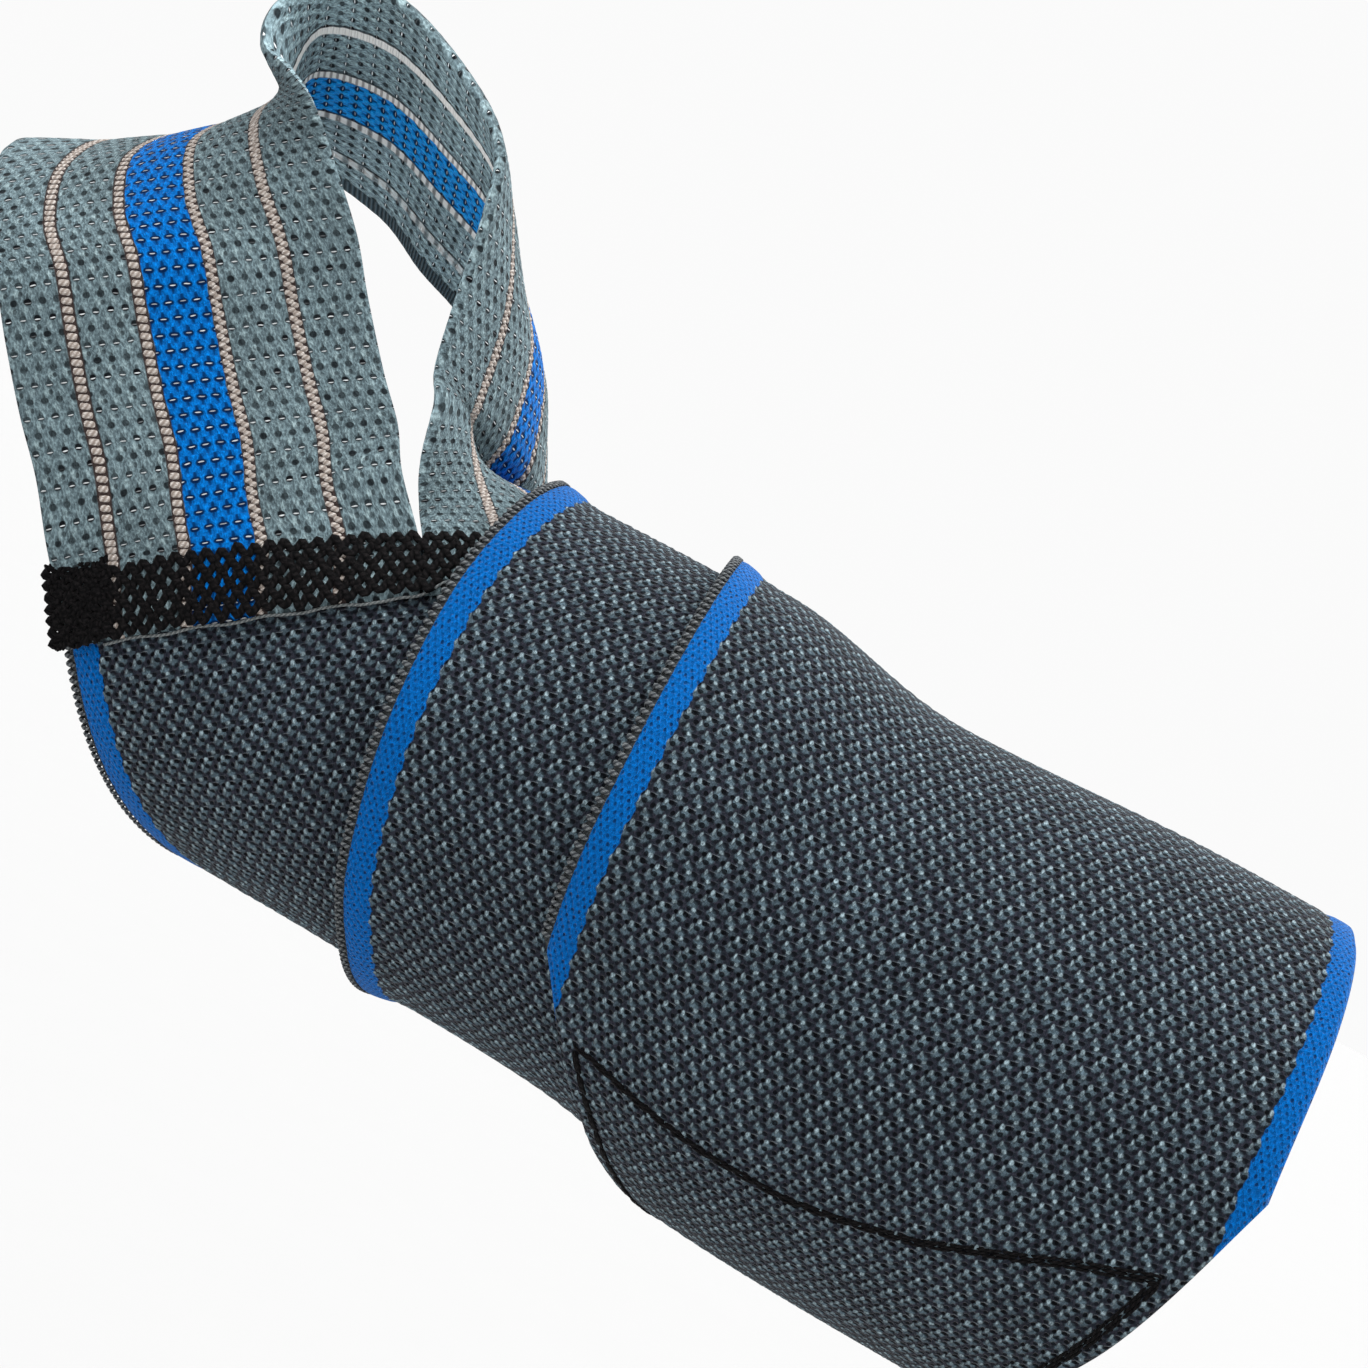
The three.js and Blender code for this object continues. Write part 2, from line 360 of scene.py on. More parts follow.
@dataclass
class Strap:
    """The thumb loop's strap: where any place of it lies."""

    strip: Strip
    width: float = 38.0
    thickness: float = 1.2
    loop_height: float = 52.0
    overlap: float = 7.0
    columns: int = 6
    settled_share: float = 0.42
    air: tuple[LoopRow, ...] = (
        LoopRow((-0.1, 0.02, 0.1), (-0.74, -0.25, -0.62), 0.03),
        LoopRow((-0.16, 0.04, 0.18), (-0.76, -0.29, -0.59), 0.03),
        LoopRow((-0.24, 0.05, 0.26), (-0.76, -0.33, -0.57), 0.02),
        LoopRow((-0.34, 0.04, 0.38), (-0.74, -0.36, -0.57), 0.0),
        LoopRow((-0.41, 0.01, 0.48), (-0.74, -0.34, -0.57), -0.02),
        LoopRow((-0.5, -0.03, 0.58), (-0.71, -0.27, -0.62), -0.12),
        LoopRow((-0.59, -0.06, 0.67), (-0.7, -0.1, -0.61), -0.25),
        LoopRow((-0.67, -0.07, 0.71), (-0.73, 0.2, -0.55), -0.41),
        LoopRow((-0.76, -0.04, 0.74), (-0.64, 0.54, -0.53), -0.41),
        LoopRow((-0.8, 0.03, 0.83), (-0.45, 0.74, -0.53), -0.23),
        LoopRow((-0.75, 0.09, 0.93), (-0.17, 0.83, -0.49), -0.05),
        LoopRow((-0.61, 0.14, 0.96), (-0.04, 0.83, -0.55), 0.0),
        LoopRow((-0.42, 0.16, 0.89), (-0.09, 0.82, -0.55), 0.03),
        LoopRow((-0.28, 0.15, 0.79), (-0.13, 0.86, -0.47), 0.06),
        LoopRow((-0.23, 0.13, 0.65), (-0.05, 0.91, -0.36), 0.1),
        LoopRow((-0.2, 0.11, 0.49), (0.12, 0.92, -0.24), 0.12),
        LoopRow((-0.16, 0.08, 0.33), (0.27, 0.85, -0.27), 0.08),
    )
    tucked: tuple[TuckedRow, ...] = (
        TuckedRow(-0.56, 64, -0.44, 137, 0.17),
        TuckedRow(-0.54, 58, -0.3, 126, 0.06),
        TuckedRow(-0.51, 52, -0.16, 108, 0.0),
    )
    row_step: float = 0.43
    column_step: float = 0.5
    spots: Array = field(init=False)
    normals: Array = field(init=False)
    length: float = field(init=False)

    def __post_init__(self) -> None:
        """Lays out the strap's middle surface once, in even steps along and across."""
        sections = self.sections()
        fine = np.arange(0, len(sections) - 1 + 1e-9, 1 / 24)
        dense = spline(sections, fine)
        middle = dense[:, self.columns // 2]
        travelled = np.concatenate([[0.0], np.cumsum(np.linalg.norm(np.diff(middle, axis=0), axis=-1))])
        self.length = float(travelled[-1])
        rows = 2 * round(self.length / self.row_step / 2)
        even = np.interp(np.linspace(0, self.length, rows + 1), travelled, fine)
        columns = round(self.width / self.column_step)
        wide = np.linspace(0, self.columns, columns + 1)
        grid = spline(np.swapaxes(spline(sections, even), 0, 1), wide)
        self.spots = np.swapaxes(grid, 0, 1)[:, ::-1]
        along, across = np.gradient(self.spots, axis=(0, 1))
        self.normals = unit(np.cross(across, along))

    def seat(self) -> float:
        """How far the strap's middle lies off the wrist where it is sewn to the strip's start."""
        return self.strip.thickness + self.strip.gap + self.thickness / 2

    def sewn_row(self, back: float, near: float, far: float) -> Array:
        """Points across a sewn end.

        Args:
            back: Millimetres down the strip from its edge.
            near, far: Millimetres from the strip's middle to the strap's two edges.

        Returns:
            The row's points.
        """
        lean = math.radians(self.strip.winding[0].lean)
        turn = self.strip.start + back * math.cos(lean) / self.strip.wrist.mm_per_degree
        across = np.linspace(near, far, self.columns + 1)
        x, wound, _ = self.strip.lay(np.full_like(across, turn), across)
        return self.strip.wrist.point(x, -wound, self.seat())

    def tucked_row(self, row: TuckedRow) -> Array:
        """Points across the strap under the next turn.

        Args:
            row: The two edges and the near edge's stand-off.

        Returns:
            The row's points.
        """
        t = np.linspace(0, 1, self.columns + 1)
        x = (row.near_x + (row.far_x - row.near_x) * t) * self.strip.width
        angle = row.near_angle + (row.far_angle - row.near_angle) * t
        stand = row.free * self.loop_height * (1 - smooth(0, self.settled_share, t))
        return self.strip.wrist.point(x, angle, self.seat() + stand)

    def sections(self) -> Array:
        """The strap's rows of points, close to the CAD part's.

        Returns:
            The rows, from its first sewn end to its second.
        """
        half_gap = self.strip.gap / 2
        backs = (self.overlap, self.overlap / 2, 0.0)
        first = [self.sewn_row(back, -half_gap, -self.width) for back in backs]
        last = [self.sewn_row(back, half_gap, self.width) for back in backs[::-1]]
        seam = first[-1][0]
        near = np.array([row.near for row in self.air])
        t = np.linspace(0, 1, self.columns + 1)[:, None]
        rows = []
        for i, row in enumerate(self.air):
            along = near[min(i + 1, len(near) - 1)] - near[max(i - 1, 0)]
            across = np.array(row.across) * self.width
            outward = unit(np.cross(along, across))
            bow = 4 * t * (1 - t) * row.crown * self.width
            rows.append(seam + near[i] * self.loop_height + across * t + outward * bow)
        return np.array([*first, *rows, *(self.tucked_row(row) for row in self.tucked), *last])

    def point(self, along: Array, across: Array, lift: Array) -> Array:
        """Points over the strap.

        Args:
            along: Millimetres from its first end.
            across: Millimetres from its far edge.
            lift: Millimetres out from its middle surface, negative towards the inside.

        Returns:
            The points, with their three coordinates on the last axis.
        """
        along, across, lift = np.broadcast_arrays(*(np.asarray(v, float) for v in (along, across, lift)))
        rows, columns = (n - 1 for n in self.spots.shape[:2])
        r = np.clip(along / self.length * rows, 0, rows - 1e-6)
        c = np.clip(across / self.width * columns, 0, columns - 1e-6)
        i, j = r.astype(int), c.astype(int)
        u, v = (r - i)[..., None], (c - j)[..., None]

        def read(grid: Array) -> Array:
            """The grid's value between its four nearest corners.

            Args:
                grid: A value for each row and column.

            Returns:
                The value at each place.
            """
            low = grid[i, j] * (1 - v) + grid[i, j + 1] * v
            high = grid[i + 1, j] * (1 - v) + grid[i + 1, j + 1] * v
            return low * (1 - u) + high * u

        return read(self.spots) + unit(read(self.normals)) * lift[..., None]


class Sock:
    """A shader value that takes part in Python expressions. Each expression adds its Math nodes."""

    def __init__(self, graph: "Graph", socket: bpy.types.NodeSocket) -> None:
        """Wraps one output socket."""
        self.graph = graph
        self.socket = socket

    def math(self, operation: str, *values: "Sock | float") -> "Sock":
        """Adds a Math node to this value.

        Args:
            operation: The node's operation.
            values: The node's other inputs.

        Returns:
            The node's result.
        """
        inputs = dict(enumerate((self, *values)))
        return self.graph.node("ShaderNodeMath", {"operation": operation}, inputs)

    def __add__(self, other: "Sock | float") -> "Sock":
        """The sum."""
        return self.math("ADD", other)

    def __radd__(self, other: float) -> "Sock":
        """The sum."""
        return self.math("ADD", other)

    def __sub__(self, other: "Sock | float") -> "Sock":
        """The difference."""
        return self.math("SUBTRACT", other)

    def __rsub__(self, other: float) -> "Sock":
        """The number less this value."""
        return self.math("MULTIPLY_ADD", -1.0, other)

    def __mul__(self, other: "Sock | float") -> "Sock":
        """The product."""
        return self.math("MULTIPLY", other)

    def __rmul__(self, other: float) -> "Sock":
        """The product."""
        return self.math("MULTIPLY", other)

    def __truediv__(self, other: "Sock | float") -> "Sock":
        """The quotient."""
        return self.math("DIVIDE", other)

    def __abs__(self) -> "Sock":
        """The value without its sign."""
        return self.math("ABSOLUTE")

    def floor(self) -> "Sock":
        """The whole number below."""
        return self.math("FLOOR")

    def wave(self, period: float) -> "Sock":
        """A sine of this length, from -1 to 1."""
        return (self * (math.tau / period)).math("SINE")

    def least(self, other: "Sock | float") -> "Sock":
        """The smaller of the two."""
        return self.math("MINIMUM", other)

    def most(self, other: "Sock | float") -> "Sock":
        """The larger of the two."""
        return self.math("MAXIMUM", other)

    def step(self, low: float, high: float) -> "Sock":
        """A smooth step from 0 at low to 1 at high, which may run downwards.

        Args:
            low, high: Where the step starts and ends.

        Returns:
            The step's height.
        """
        inputs = {"Value": self, "From Min": low, "From Max": high}
        return self.graph.node("ShaderNodeMapRange", {"interpolation_type": "SMOOTHSTEP"}, inputs)

    def between(self, low: float, high: float, soft: float = 0.12) -> "Sock":
        """One between two places and zero outside, with soft ends.

        Args:
            low, high: The two places.
            soft: How wide each end's step is.

        Returns:
            The mask.
        """
        return self.step(low - soft / 2, low + soft / 2) * self.step(high + soft / 2, high - soft / 2)


class Graph:
    """A material being written."""

    def __init__(self, name: str) -> None:
        """Starts a material with its shader and output.

        Args:
            name: The material's name.
        """
        self.material = bpy.data.materials.new(name)
        self.material.use_nodes = True
        self.tree = self.material.node_tree
        self.tree.nodes.clear()
        self.shader = self.tree.nodes.new("ShaderNodeBsdfPrincipled")
        output = self.tree.nodes.new("ShaderNodeOutputMaterial")
        self.tree.links.new(self.shader.outputs[0], output.inputs[0])

    def node(
        self,
        kind: str,
        settings: dict[str, object],
        inputs: dict[str | int, object],
        output: str | int = 0,
    ) -> Sock:
        """Adds any node.

        Args:
            kind: The node's type.
            settings: What is set on the node before its sockets.
            inputs: The value or link of each input socket.
            output: The output socket that is wanted.

        Returns:
            That output.
        """
        made = self.tree.nodes.new(kind)
        for key, value in settings.items():
            setattr(made, key, value)
        for key, value in inputs.items():
            self.put(made.inputs[key], value)
        return Sock(self, made.outputs[output])

    def put(self, socket: bpy.types.NodeSocket, value: object) -> None:
        """Links a value to a socket, or sets the socket.

        Args:
            socket: The input socket.
            value: An output to link, a colour or a number.
        """
        if isinstance(value, Sock):
            self.tree.links.new(value.socket, socket)
        elif socket.type == "RGBA":
            socket.default_value = (*value, 1.0)
        else:
            socket.default_value = value

    def vector(self, x: Sock | float, y: Sock | float, z: Sock | float = 0.0) -> Sock:
        """A vector of three values."""
        return self.node("ShaderNodeCombineXYZ", {}, {0: x, 1: y, 2: z})

    def mix(self, share: Sock | float, a: Sock | Colour, b: Sock | Colour, blend: str = "MIX") -> Sock:
        """Mixes two colours.

        Args:
            share: How much of the second shows.
            a, b: The colours.
            blend: The way they are mixed.

        Returns:
            The mixed colour.
        """
        settings = {"data_type": "RGBA", "blend_type": blend}
        return self.node("ShaderNodeMix", settings, {0: share, 6: a, 7: b}, 2)

    def tint(self, colour: Sock | Colour, level: Sock | float) -> Sock:
        """Makes a colour lighter or darker by a level round one.

        Args:
            colour: The colour.
            level: What it is multiplied by.

        Returns:
            The new colour.
        """
        return self.mix(1.0, colour, self.vector(level, level, level), "MULTIPLY")

    def cloth(self) -> tuple[Sock, Sock]:
        """Reads the cloth's own map.

        Returns:
            Millimetres along and across the flat cloth.
        """
        place = self.node("ShaderNodeUVMap", {"uv_map": "Cloth"}, {})
        parts = self.node("ShaderNodeSeparateXYZ", {}, {0: place})
        across = Sock(self, parts.socket.node.outputs[1])
        return parts * UV_MM, across * UV_MM

    def noise(self, x: Sock, y: Sock, scale: float, detail: float = 2.0) -> Sock:
        """Soft noise from 0 to 1 over two values.

        Args:
            x, y: The two values.
            scale: How many patches there are for each unit.
            detail: How many finer layers it has.

        Returns:
            The noise.
        """
        inputs = {"Vector": self.vector(x, y), "Scale": scale, "Detail": detail}
        return self.node("ShaderNodeTexNoise", {}, inputs).step(0.28, 0.72)

    def wander(self, along: Sock, across: Sock, scale: float, reach: float) -> tuple[Sock, Sock]:
        """Moves a place a little to and fro, so that a weave isn't perfectly even.

        Args:
            along, across: The place on the cloth.
            scale: How many swings there are for each millimetre.
            reach: How far it moves, in millimetres.

        Returns:
            The moved place.
        """
        inputs = {"Vector": self.vector(across, along), "Scale": scale, "Detail": 2.0}
        colour = self.node("ShaderNodeTexNoise", {}, inputs, "Color")
        parts = self.node("ShaderNodeSeparateXYZ", {}, {0: colour})
        aside = Sock(self, parts.socket.node.outputs[1])
        return along + (parts - 0.5) * reach, across + (aside - 0.5) * reach

    def finish(self, colour: Sock, rough: Sock | float, height: Sock, depth: float, sheen: float) -> None:
        """Sets the shader.

        Args:
            colour: The base colour.
            rough: The roughness.
            height: The relief, from 0 to 1.
            depth: How deep that relief is, in millimetres.
            sheen: How much light the fibres catch at a low angle.
        """
        inputs = {"Height": height, "Distance": depth * METRE, "Strength": 1.0}
        normal = self.node("ShaderNodeBump", {}, inputs)
        for key, value in {"Base Color": colour, "Roughness": rough, "Normal": normal}.items():
            self.put(self.shader.inputs[key], value)
        self.shader.inputs["Sheen Weight"].default_value = sheen
        self.shader.inputs["Sheen Roughness"].default_value = SHEEN_ROUGHNESS
        self.shader.inputs["Specular IOR Level"].default_value = SPECULAR_LEVEL


class Cell(NamedTuple):
    """One place within a weave: the offset from the nearest crossing, that crossing's row, and its chance."""

    across: Sock
    along: Sock
    row: Sock
    chance: Sock

    def spot(self, across: float, along: float, wide: float, tall: float, soft: float = 0.5) -> Sock:
        """An oval near the crossing.

        Args:
            across, along: Where its middle is.
            wide, tall: Its half sizes.
            soft: How much of it is its fading rim.

        Returns:
            One inside it and zero outside.
        """
        a = (self.across - across) / wide
        b = (self.along - along) / tall
        return (a * a + b * b).step(1.0, 1.0 - soft)


@dataclass(frozen=True)
class Lattice:
    """Where a weave's crossings are: its pitch each way and how far each row steps across."""

    across: float
    along: float
    step: float
    first: float = 0.0
    offset: float = 0.0

    def cell(self, graph: Graph, along: Sock, across: Sock) -> Cell:
        """The nearest crossing's cell.

        Args:
            graph: The material.
            along, across: The place on the cloth.

        Returns:
            The cell.
        """
        rows = (along - self.first) / self.along
        row = (rows + 0.5).floor()
        columns = (across - self.offset) / self.across - row * self.step
        column = (columns + 0.5).floor()
        key = graph.vector(row, column, self.first + self.across)
        chance = graph.node("ShaderNodeTexWhiteNoise", {"noise_dimensions": "3D"}, {"Vector": key})
        return Cell((columns - column) * self.across, (rows - row) * self.along, row, chance)


class Float(NamedTuple):
    """One of the dark weave's four floats: its place, its size, its light and what lies round it."""

    along: float
    across: float
    wide: float
    tall: float
    light: float
    body: float
    hole: float
    strand: float


@dataclass(frozen=True)
class BandWeave:
    """The strip's dark weave with a blue stripe near each edge."""

    width: float = 76.0
    pitch: float = 2.082
    repeat: float = 3.0
    floats: tuple[Float, ...] = (
        Float(0.0, 0.0, 0.31, 0.4, 1.0, 1.0, 1.0, 0.8),
        Float(0.75, -0.52, 0.22, 0.46, 0.8, 0.7, 0.95, 0.15),
        Float(1.5, 0.52, 0.22, 0.38, 0.85, 0.9, 0.7, 0.5),
        Float(2.25, 1.04, 0.34, 0.29, 1.0, 0.5, 0.85, 0.12),
    )
    body_spot: Spot = (0.2, 0.36, 0.62, 0.52, 0.8)
    hole_spots: tuple[Spot, ...] = (
        (0.56, -0.04, 0.36, 0.3, 0.6),
        (-0.48, 0.06, 0.28, 0.28, 0.6),
        (1.0, -0.04, 0.55, 0.19, 0.6),
    )
    strand_spot: Spot = (1.0, -0.3, 0.95, 0.07, 0.8)
    stripe: tuple[float, float] = (0.85, 3.75)
    far_stripe: float = 2.95
    bright: Colour = linear(142, 162, 170)
    body: Colour = linear(82, 100, 110)
    ground: Colour = linear(34, 42, 51)
    brown: Colour = linear(48, 39, 48)
    hole: Colour = linear(3, 4, 7)
    strand: Colour = linear(120, 128, 134)
    blue: Colour = linear(0, 94, 171)
    navy: Colour = linear(0, 26, 66)
    edge: Colour = linear(66, 70, 72)

    def make(self) -> bpy.types.Material:
        """Writes the material.

        Returns:
            The material.
        """
        graph = Graph("band_weave")
        along, across = graph.cloth()
        stripe = self.stripe_mask(along, across)
        outside = across.step(self.stripe[0] + 0.08, self.stripe[0] - 0.08)
        fibre = graph.noise(across * 1.9, along * 1.1, 2.2, 4.0)
        cloud = graph.noise(across, along, 0.09, 2.0)
        along, across = graph.wander(along, across, 0.85, 0.3)
        weave, height = self.weave(graph, along, across, fibre, cloud)
        blue, blue_height = self.stripe_weave(graph, along, across, fibre)
        colour = graph.mix(stripe, weave, blue)
        colour = graph.mix(outside, colour, graph.tint(self.edge, fibre * 0.6 + 0.4))
        relief = height + (blue_height - height) * stripe
        graph.finish(colour, 0.9, relief, 0.45, 0.12)
        return graph.material

    def weave(self, graph: Graph, along: Sock, across: Sock, fibre: Sock, cloud: Sock) -> tuple[Sock, Sock]:
        """The dark weave: short bright floats that run out into grey bodies, with holes between them.

        Args:
            graph: The material.
            along, across: The place on the strip.
            fibre, cloud: Fine and broad noise.

        Returns:
            Its colour and its relief.
        """
        level = (fibre * 0.8 + 0.55) * (cloud * 0.25 + 0.87)
        colour = graph.mix(fibre * 0.5, self.ground, self.brown)
        colour = graph.tint(colour, level)
        height = fibre * 0.25 + 0.25
        marks = []
        for kind in self.floats:
            cell = Lattice(self.pitch, self.repeat, 0.0, kind.along, kind.across).cell(graph, along, across)
            body = cell.spot(*self.body_spot) * kind.body
            marks.append((kind, cell, body))
            colour = graph.mix(body, colour, graph.tint(self.body, level * (cell.chance * 0.3 + 0.9)))
            height = height + body * 0.3
        for kind, cell, _ in marks:
            hole = cell.spot(*self.hole_spots[0]).most(cell.spot(*self.hole_spots[1]))
            hole = (hole * kind.hole).most(cell.spot(*self.hole_spots[2]) * kind.hole * kind.strand)
            colour = graph.mix(hole * (fibre * 0.4 + 0.75).least(1.0), colour, self.hole)
            height = height * (1 - hole * 0.9)
        for kind, cell, _ in marks:
            strand = cell.spot(*self.strand_spot) * kind.strand * (cell.chance * 0.8 + 0.2)
            head = cell.spot(0.0, 0.0, kind.wide, kind.tall, 0.85)
            light = (cell.chance * 0.5 + 0.6) * (fibre * 0.8 + 0.5) * kind.light
            colour = graph.mix(strand, colour, self.strand)
            colour = graph.mix(head * (fibre * 0.6 + 0.6).least(1.0), colour, graph.tint(self.bright, light))
            height = height + head * 0.45 + strand * 0.2
        return colour, height

    def stripe_mask(self, along: Sock, across: Sock) -> Sock:
        """Where the blue stripes are: one a selvedge's width in from the hand edge, one at the other edge.

        Args:
            along, across: The place on the strip.

        Returns:
            One in a stripe and zero outside.
        """
        bite = along.wave(self.repeat) * 0.14 + along.wave(1.1) * 0.05
        hand = across.step(self.stripe[0] - 0.06, self.stripe[0] + 0.06)
        hand = hand * (across + bite).step(self.stripe[1] + 0.08, self.stripe[1] - 0.08)
        far = self.width - self.far_stripe
        forearm = (across - bite).step(far - 0.08, far + 0.08)
        return hand.most(forearm)

    def stripe_weave(self, graph: Graph, along: Sock, across: Sock, fibre: Sock) -> tuple[Sock, Sock]:
        """The blue stripe's finer weave.

        Args:
            graph: The material.
            along, across: The place on the strip.
            fibre: Fine noise.

        Returns:
            Its colour and its relief.
        """
        cell = Lattice(0.72, 0.74, 0.5).cell(graph, along, across)
        hole = cell.spot(0.0, 0.0, 0.16, 0.24, 0.8) * (cell.chance * 0.6 + 0.4)
        glint = cell.spot(0.3, 0.2, 0.14, 0.28, 0.8)
        colour = graph.tint(self.blue, fibre * 0.6 + 0.66 + glint * 0.2)
        colour = graph.mix(hole * 0.9, colour, self.navy)
        return colour, (fibre * 0.3 + glint * 0.3 + 0.45) * (1 - hole * 0.8)


@dataclass(frozen=True)
class StrapWeave:
    """The strap's grey-green weave with a blue stripe and four pale lines, on its outer or its inner face."""

    face: Face
    wale: float = 1.5
    row: float = 1.72
    blue_stripe: tuple[float, float] = (14.9, 21.5)
    lines: tuple[tuple[float, float], ...] = ((6.1, 7.5), (13.6, 14.9), (21.5, 22.7), (29.3, 30.6))
    yarn: Colour = linear(119, 139, 145)
    bright: Colour = linear(162, 184, 188)
    shade: Colour = linear(58, 72, 79)
    hole: Colour = linear(8, 10, 14)
    dash: Colour = linear(206, 210, 212)
    blue: Colour = linear(0, 87, 163)
    light_blue: Colour = linear(2, 132, 228)
    # The inner face's two blues are lit copies of the outer ones: painted light for the light falling inside
    # the loop.
    lit_inner_blue: Colour = linear(0, 138, 236)
    lit_inner_light_blue: Colour = linear(44, 184, 255)
    navy: Colour = linear(0, 14, 44)
    # Taupe: the ground's own brown, which also serves as painted shade beside and between the ladder bars.
    taupe: Colour = linear(62, 52, 50)
    cream: Colour = linear(252, 250, 247)
    dark_line: Colour = linear(26, 24, 28)
    bar_pitches: tuple[float, ...] = (1.9, 1.3, 0.8, 0.8)
    smooth_shares: tuple[float, ...] = (0.0, 0.1, 0.3, 1.0)
    line_shares: tuple[float, ...] = (0.55, 0.8, 1.0, 1.0)
    hem: float = 2.8
    glow_spot: Spot = (0.0, 0.1, 0.42, 0.5, 0.9)
    small_spot: Spot = (0.4, 0.0, 0.26, 0.34, 0.8)
    hole_spot: Spot = (0.0, 0.04, 0.44, 0.42, 0.6)
    seam_spot: Spot = (0.0, 0.15, 0.2, 0.9, 0.9)
    dash_spot: Spot = (0.02, -0.06, 0.36, 0.075, 0.6)
    blue_hole: Spot = (0.0, 0.0, 0.66, 0.4, 0.6)
    blue_seam: Spot = (0.0, 0.1, 0.26, 1.1, 0.85)
    blue_dash: Spot = (0.02, 0.06, 0.36, 0.075, 0.5)

    @property
    def painted_light_level(self) -> float:
        """The inner face is painted paler than the outer: painted light that stands in for the light falling
        inside the loop.
        """
        return 1.9 if self.face is Face.INNER else 1.0

    @property
    def blues(self) -> tuple[Colour, Colour]:
        """The stripe's darker and lighter blue, which are painted lighter on the inner face as painted light
        for the light falling inside the loop.
        """
        return (self.blue, self.light_blue) if self.face is Face.OUTER else (self.lit_inner_blue, self.lit_inner_light_blue)

    def make(self) -> bpy.types.Material:
        """Writes the material.

        Returns:
            The material.
        """
        graph = Graph(f"strap_weave_{self.face.name.lower()}")
        along, across = graph.cloth()
        lines = (along, across)
        fibre = graph.noise(across * 1.9, along * 1.0, 2.2, 4.0)
        cloud = graph.noise(across, along, 0.12, 2.0)
        bite = along.wave(2 * self.row) * 0.1
        stripe = (across + bite).between(*self.blue_stripe)
        along, across = graph.wander(along, across, 0.7, 0.32)
        middle = self.blue_stripe[0] + self.wale / 2
        cell = Lattice(self.wale, self.row, 0.5, 0.0, middle).cell(graph, along, across)
        midway = Lattice(self.wale, self.row, 0.5, self.row / 2, middle + self.wale / 4)
        between = midway.cell(graph, along, across)
        colour, height = self.grey(graph, cell, between, fibre, cloud)
        blue, blue_height = self.blue_weave(graph, cell, fibre)
        # On the inner face the grey is painted lighter here: painted light.
        colour = graph.mix(stripe, graph.tint(colour, self.painted_light_level), blue)
        height = height + (blue_height - height) * stripe
        colour, height = self.pale_lines(graph, *lines, fibre, colour, height)
        graph.finish(colour, 0.9, height, 0.45, 0.08)
        return graph.material

    def grey(self, graph: Graph, cell: Cell, between: Cell, fibre: Sock, cloud: Sock) -> tuple[Sock, Sock]:
        """The grey-green weave: soft ribs with dark holes and, at every second row, white dashes.

        Args:
            graph: The material.
            cell, between: The crossings and the places midway between them.
            fibre, cloud: Fine and broad noise.

        Returns:
            Its colour and its relief.
        """
        rib = 1 - abs(between.across) * (1.1 / self.wale)
        level = (fibre * 0.6 + 0.7) * (cloud * 0.3 + 0.85)
        colour = graph.mix(rib * 0.6 + fibre * 0.5, self.shade, self.yarn)
        colour = graph.tint(colour, level)
        glow = between.spot(*self.glow_spot) * (between.chance * 0.6 + 0.1)
        colour = graph.mix(glow * fibre * 1.4, colour, self.bright)
        small = between.spot(*self.small_spot) * between.chance.step(0.3, 0.8) * 0.7
        hole = cell.spot(*self.hole_spot) * (cell.chance * 0.3 + 0.7)
        seam = cell.spot(*self.seam_spot) * (fibre * 0.7 + 0.25)
        dark = hole.most(small).most(seam)
        colour = graph.mix(dark, colour, self.hole)
        second = (cell.row / 2).math("FRACT").step(0.3, 0.2)
        dash = cell.spot(*self.dash_spot) * (second * 0.8 + cell.chance.step(0.8, 0.95) * 0.3)
        colour = graph.mix(dash.least(1.0), colour, self.dash)
        height = (rib * 0.4 + fibre * 0.35 + 0.2 + dash * 0.15) * (1 - dark * 0.8)
        return colour, height

    def blue_weave(self, graph: Graph, cell: Cell, fibre: Sock) -> tuple[Sock, Sock]:
        """The blue stripe: rounded ribs with a dark hole and a white dash at each crossing.

        Args:
            graph: The material.
            cell: The crossings.
            fibre: Fine noise.

        Returns:
            Its colour and its relief.
        """
        hole = cell.spot(*self.blue_hole)
        seam = cell.spot(*self.blue_seam) * 0.8
        dash = cell.spot(*self.blue_dash) * (cell.chance * 0.6 + 0.35)
        rib = abs(cell.across) * (2 / self.wale)
        colour = graph.mix(rib * (fibre * 0.6 + 0.3), *self.blues)
        colour = graph.tint(colour, fibre * 0.4 + 0.75)
        dark = hole.most(seam)
        colour = graph.mix(dark * 0.92, colour, self.navy)
        colour = graph.mix(dash, colour, self.dash)
        return colour, (rib * 0.5 + fibre * 0.3) * (1 - dark * 0.85)

    def pale_lines(
        self, graph: Graph, along: Sock, across: Sock, fibre: Sock, colour: Sock, height: Sock
    ) -> tuple[Sock, Sock]:
        """The four lines: brown ground under the ladders outside, partly the ground's own colour and partly
        painted shade beside and between the bars, smooth and ribbed pale lines inside.

        Args:
            graph: The material.
            along, across: The place on the strap.
            fibre: Fine noise.
            colour, height: What lies round the lines.

        Returns:
            The colour and the relief with the lines in them.
        """
        if self.face is Face.OUTER:
            for low, high in self.lines:
                # The taupe ground, kept narrow, shows round the ladder bars as painted shade.
                line = across.between(low - 0.04, high + 0.04, 0.2)
                colour = graph.mix(line, colour, graph.tint(self.taupe, fibre * 0.5 + 0.6))
                height = height * (1 - line * 0.5)
            return colour, height
        for number, (low, high) in enumerate(self.lines):
            line = across.between(low + 0.05, high - 0.05, 0.2)
            rim = across.between(high - 0.1, high + 0.3, 0.15)
            bars = along.wave(self.bar_pitches[number]).step(-0.9, 0.3)
            share = (bars * 0.75 + 0.1 + self.smooth_shares[number]).least(1.0)
            pale = graph.mix(share, self.taupe, self.cream)
            colour = graph.mix(line * self.line_shares[number], colour, pale)
            colour = graph.mix(rim * 0.8, colour, self.dark_line)
            height = height + (bars * 0.3 + 0.5 - height) * line
        hem = across.step(self.hem + 0.1, self.hem - 0.1)
        rib = along.wave(0.62) * 0.5 + 0.5
        colour = graph.mix(hem, colour, graph.tint(self.shade, rib * 1.4 + 0.7))
        height = height + (rib * 0.8 - height) * hem
        return colour, height


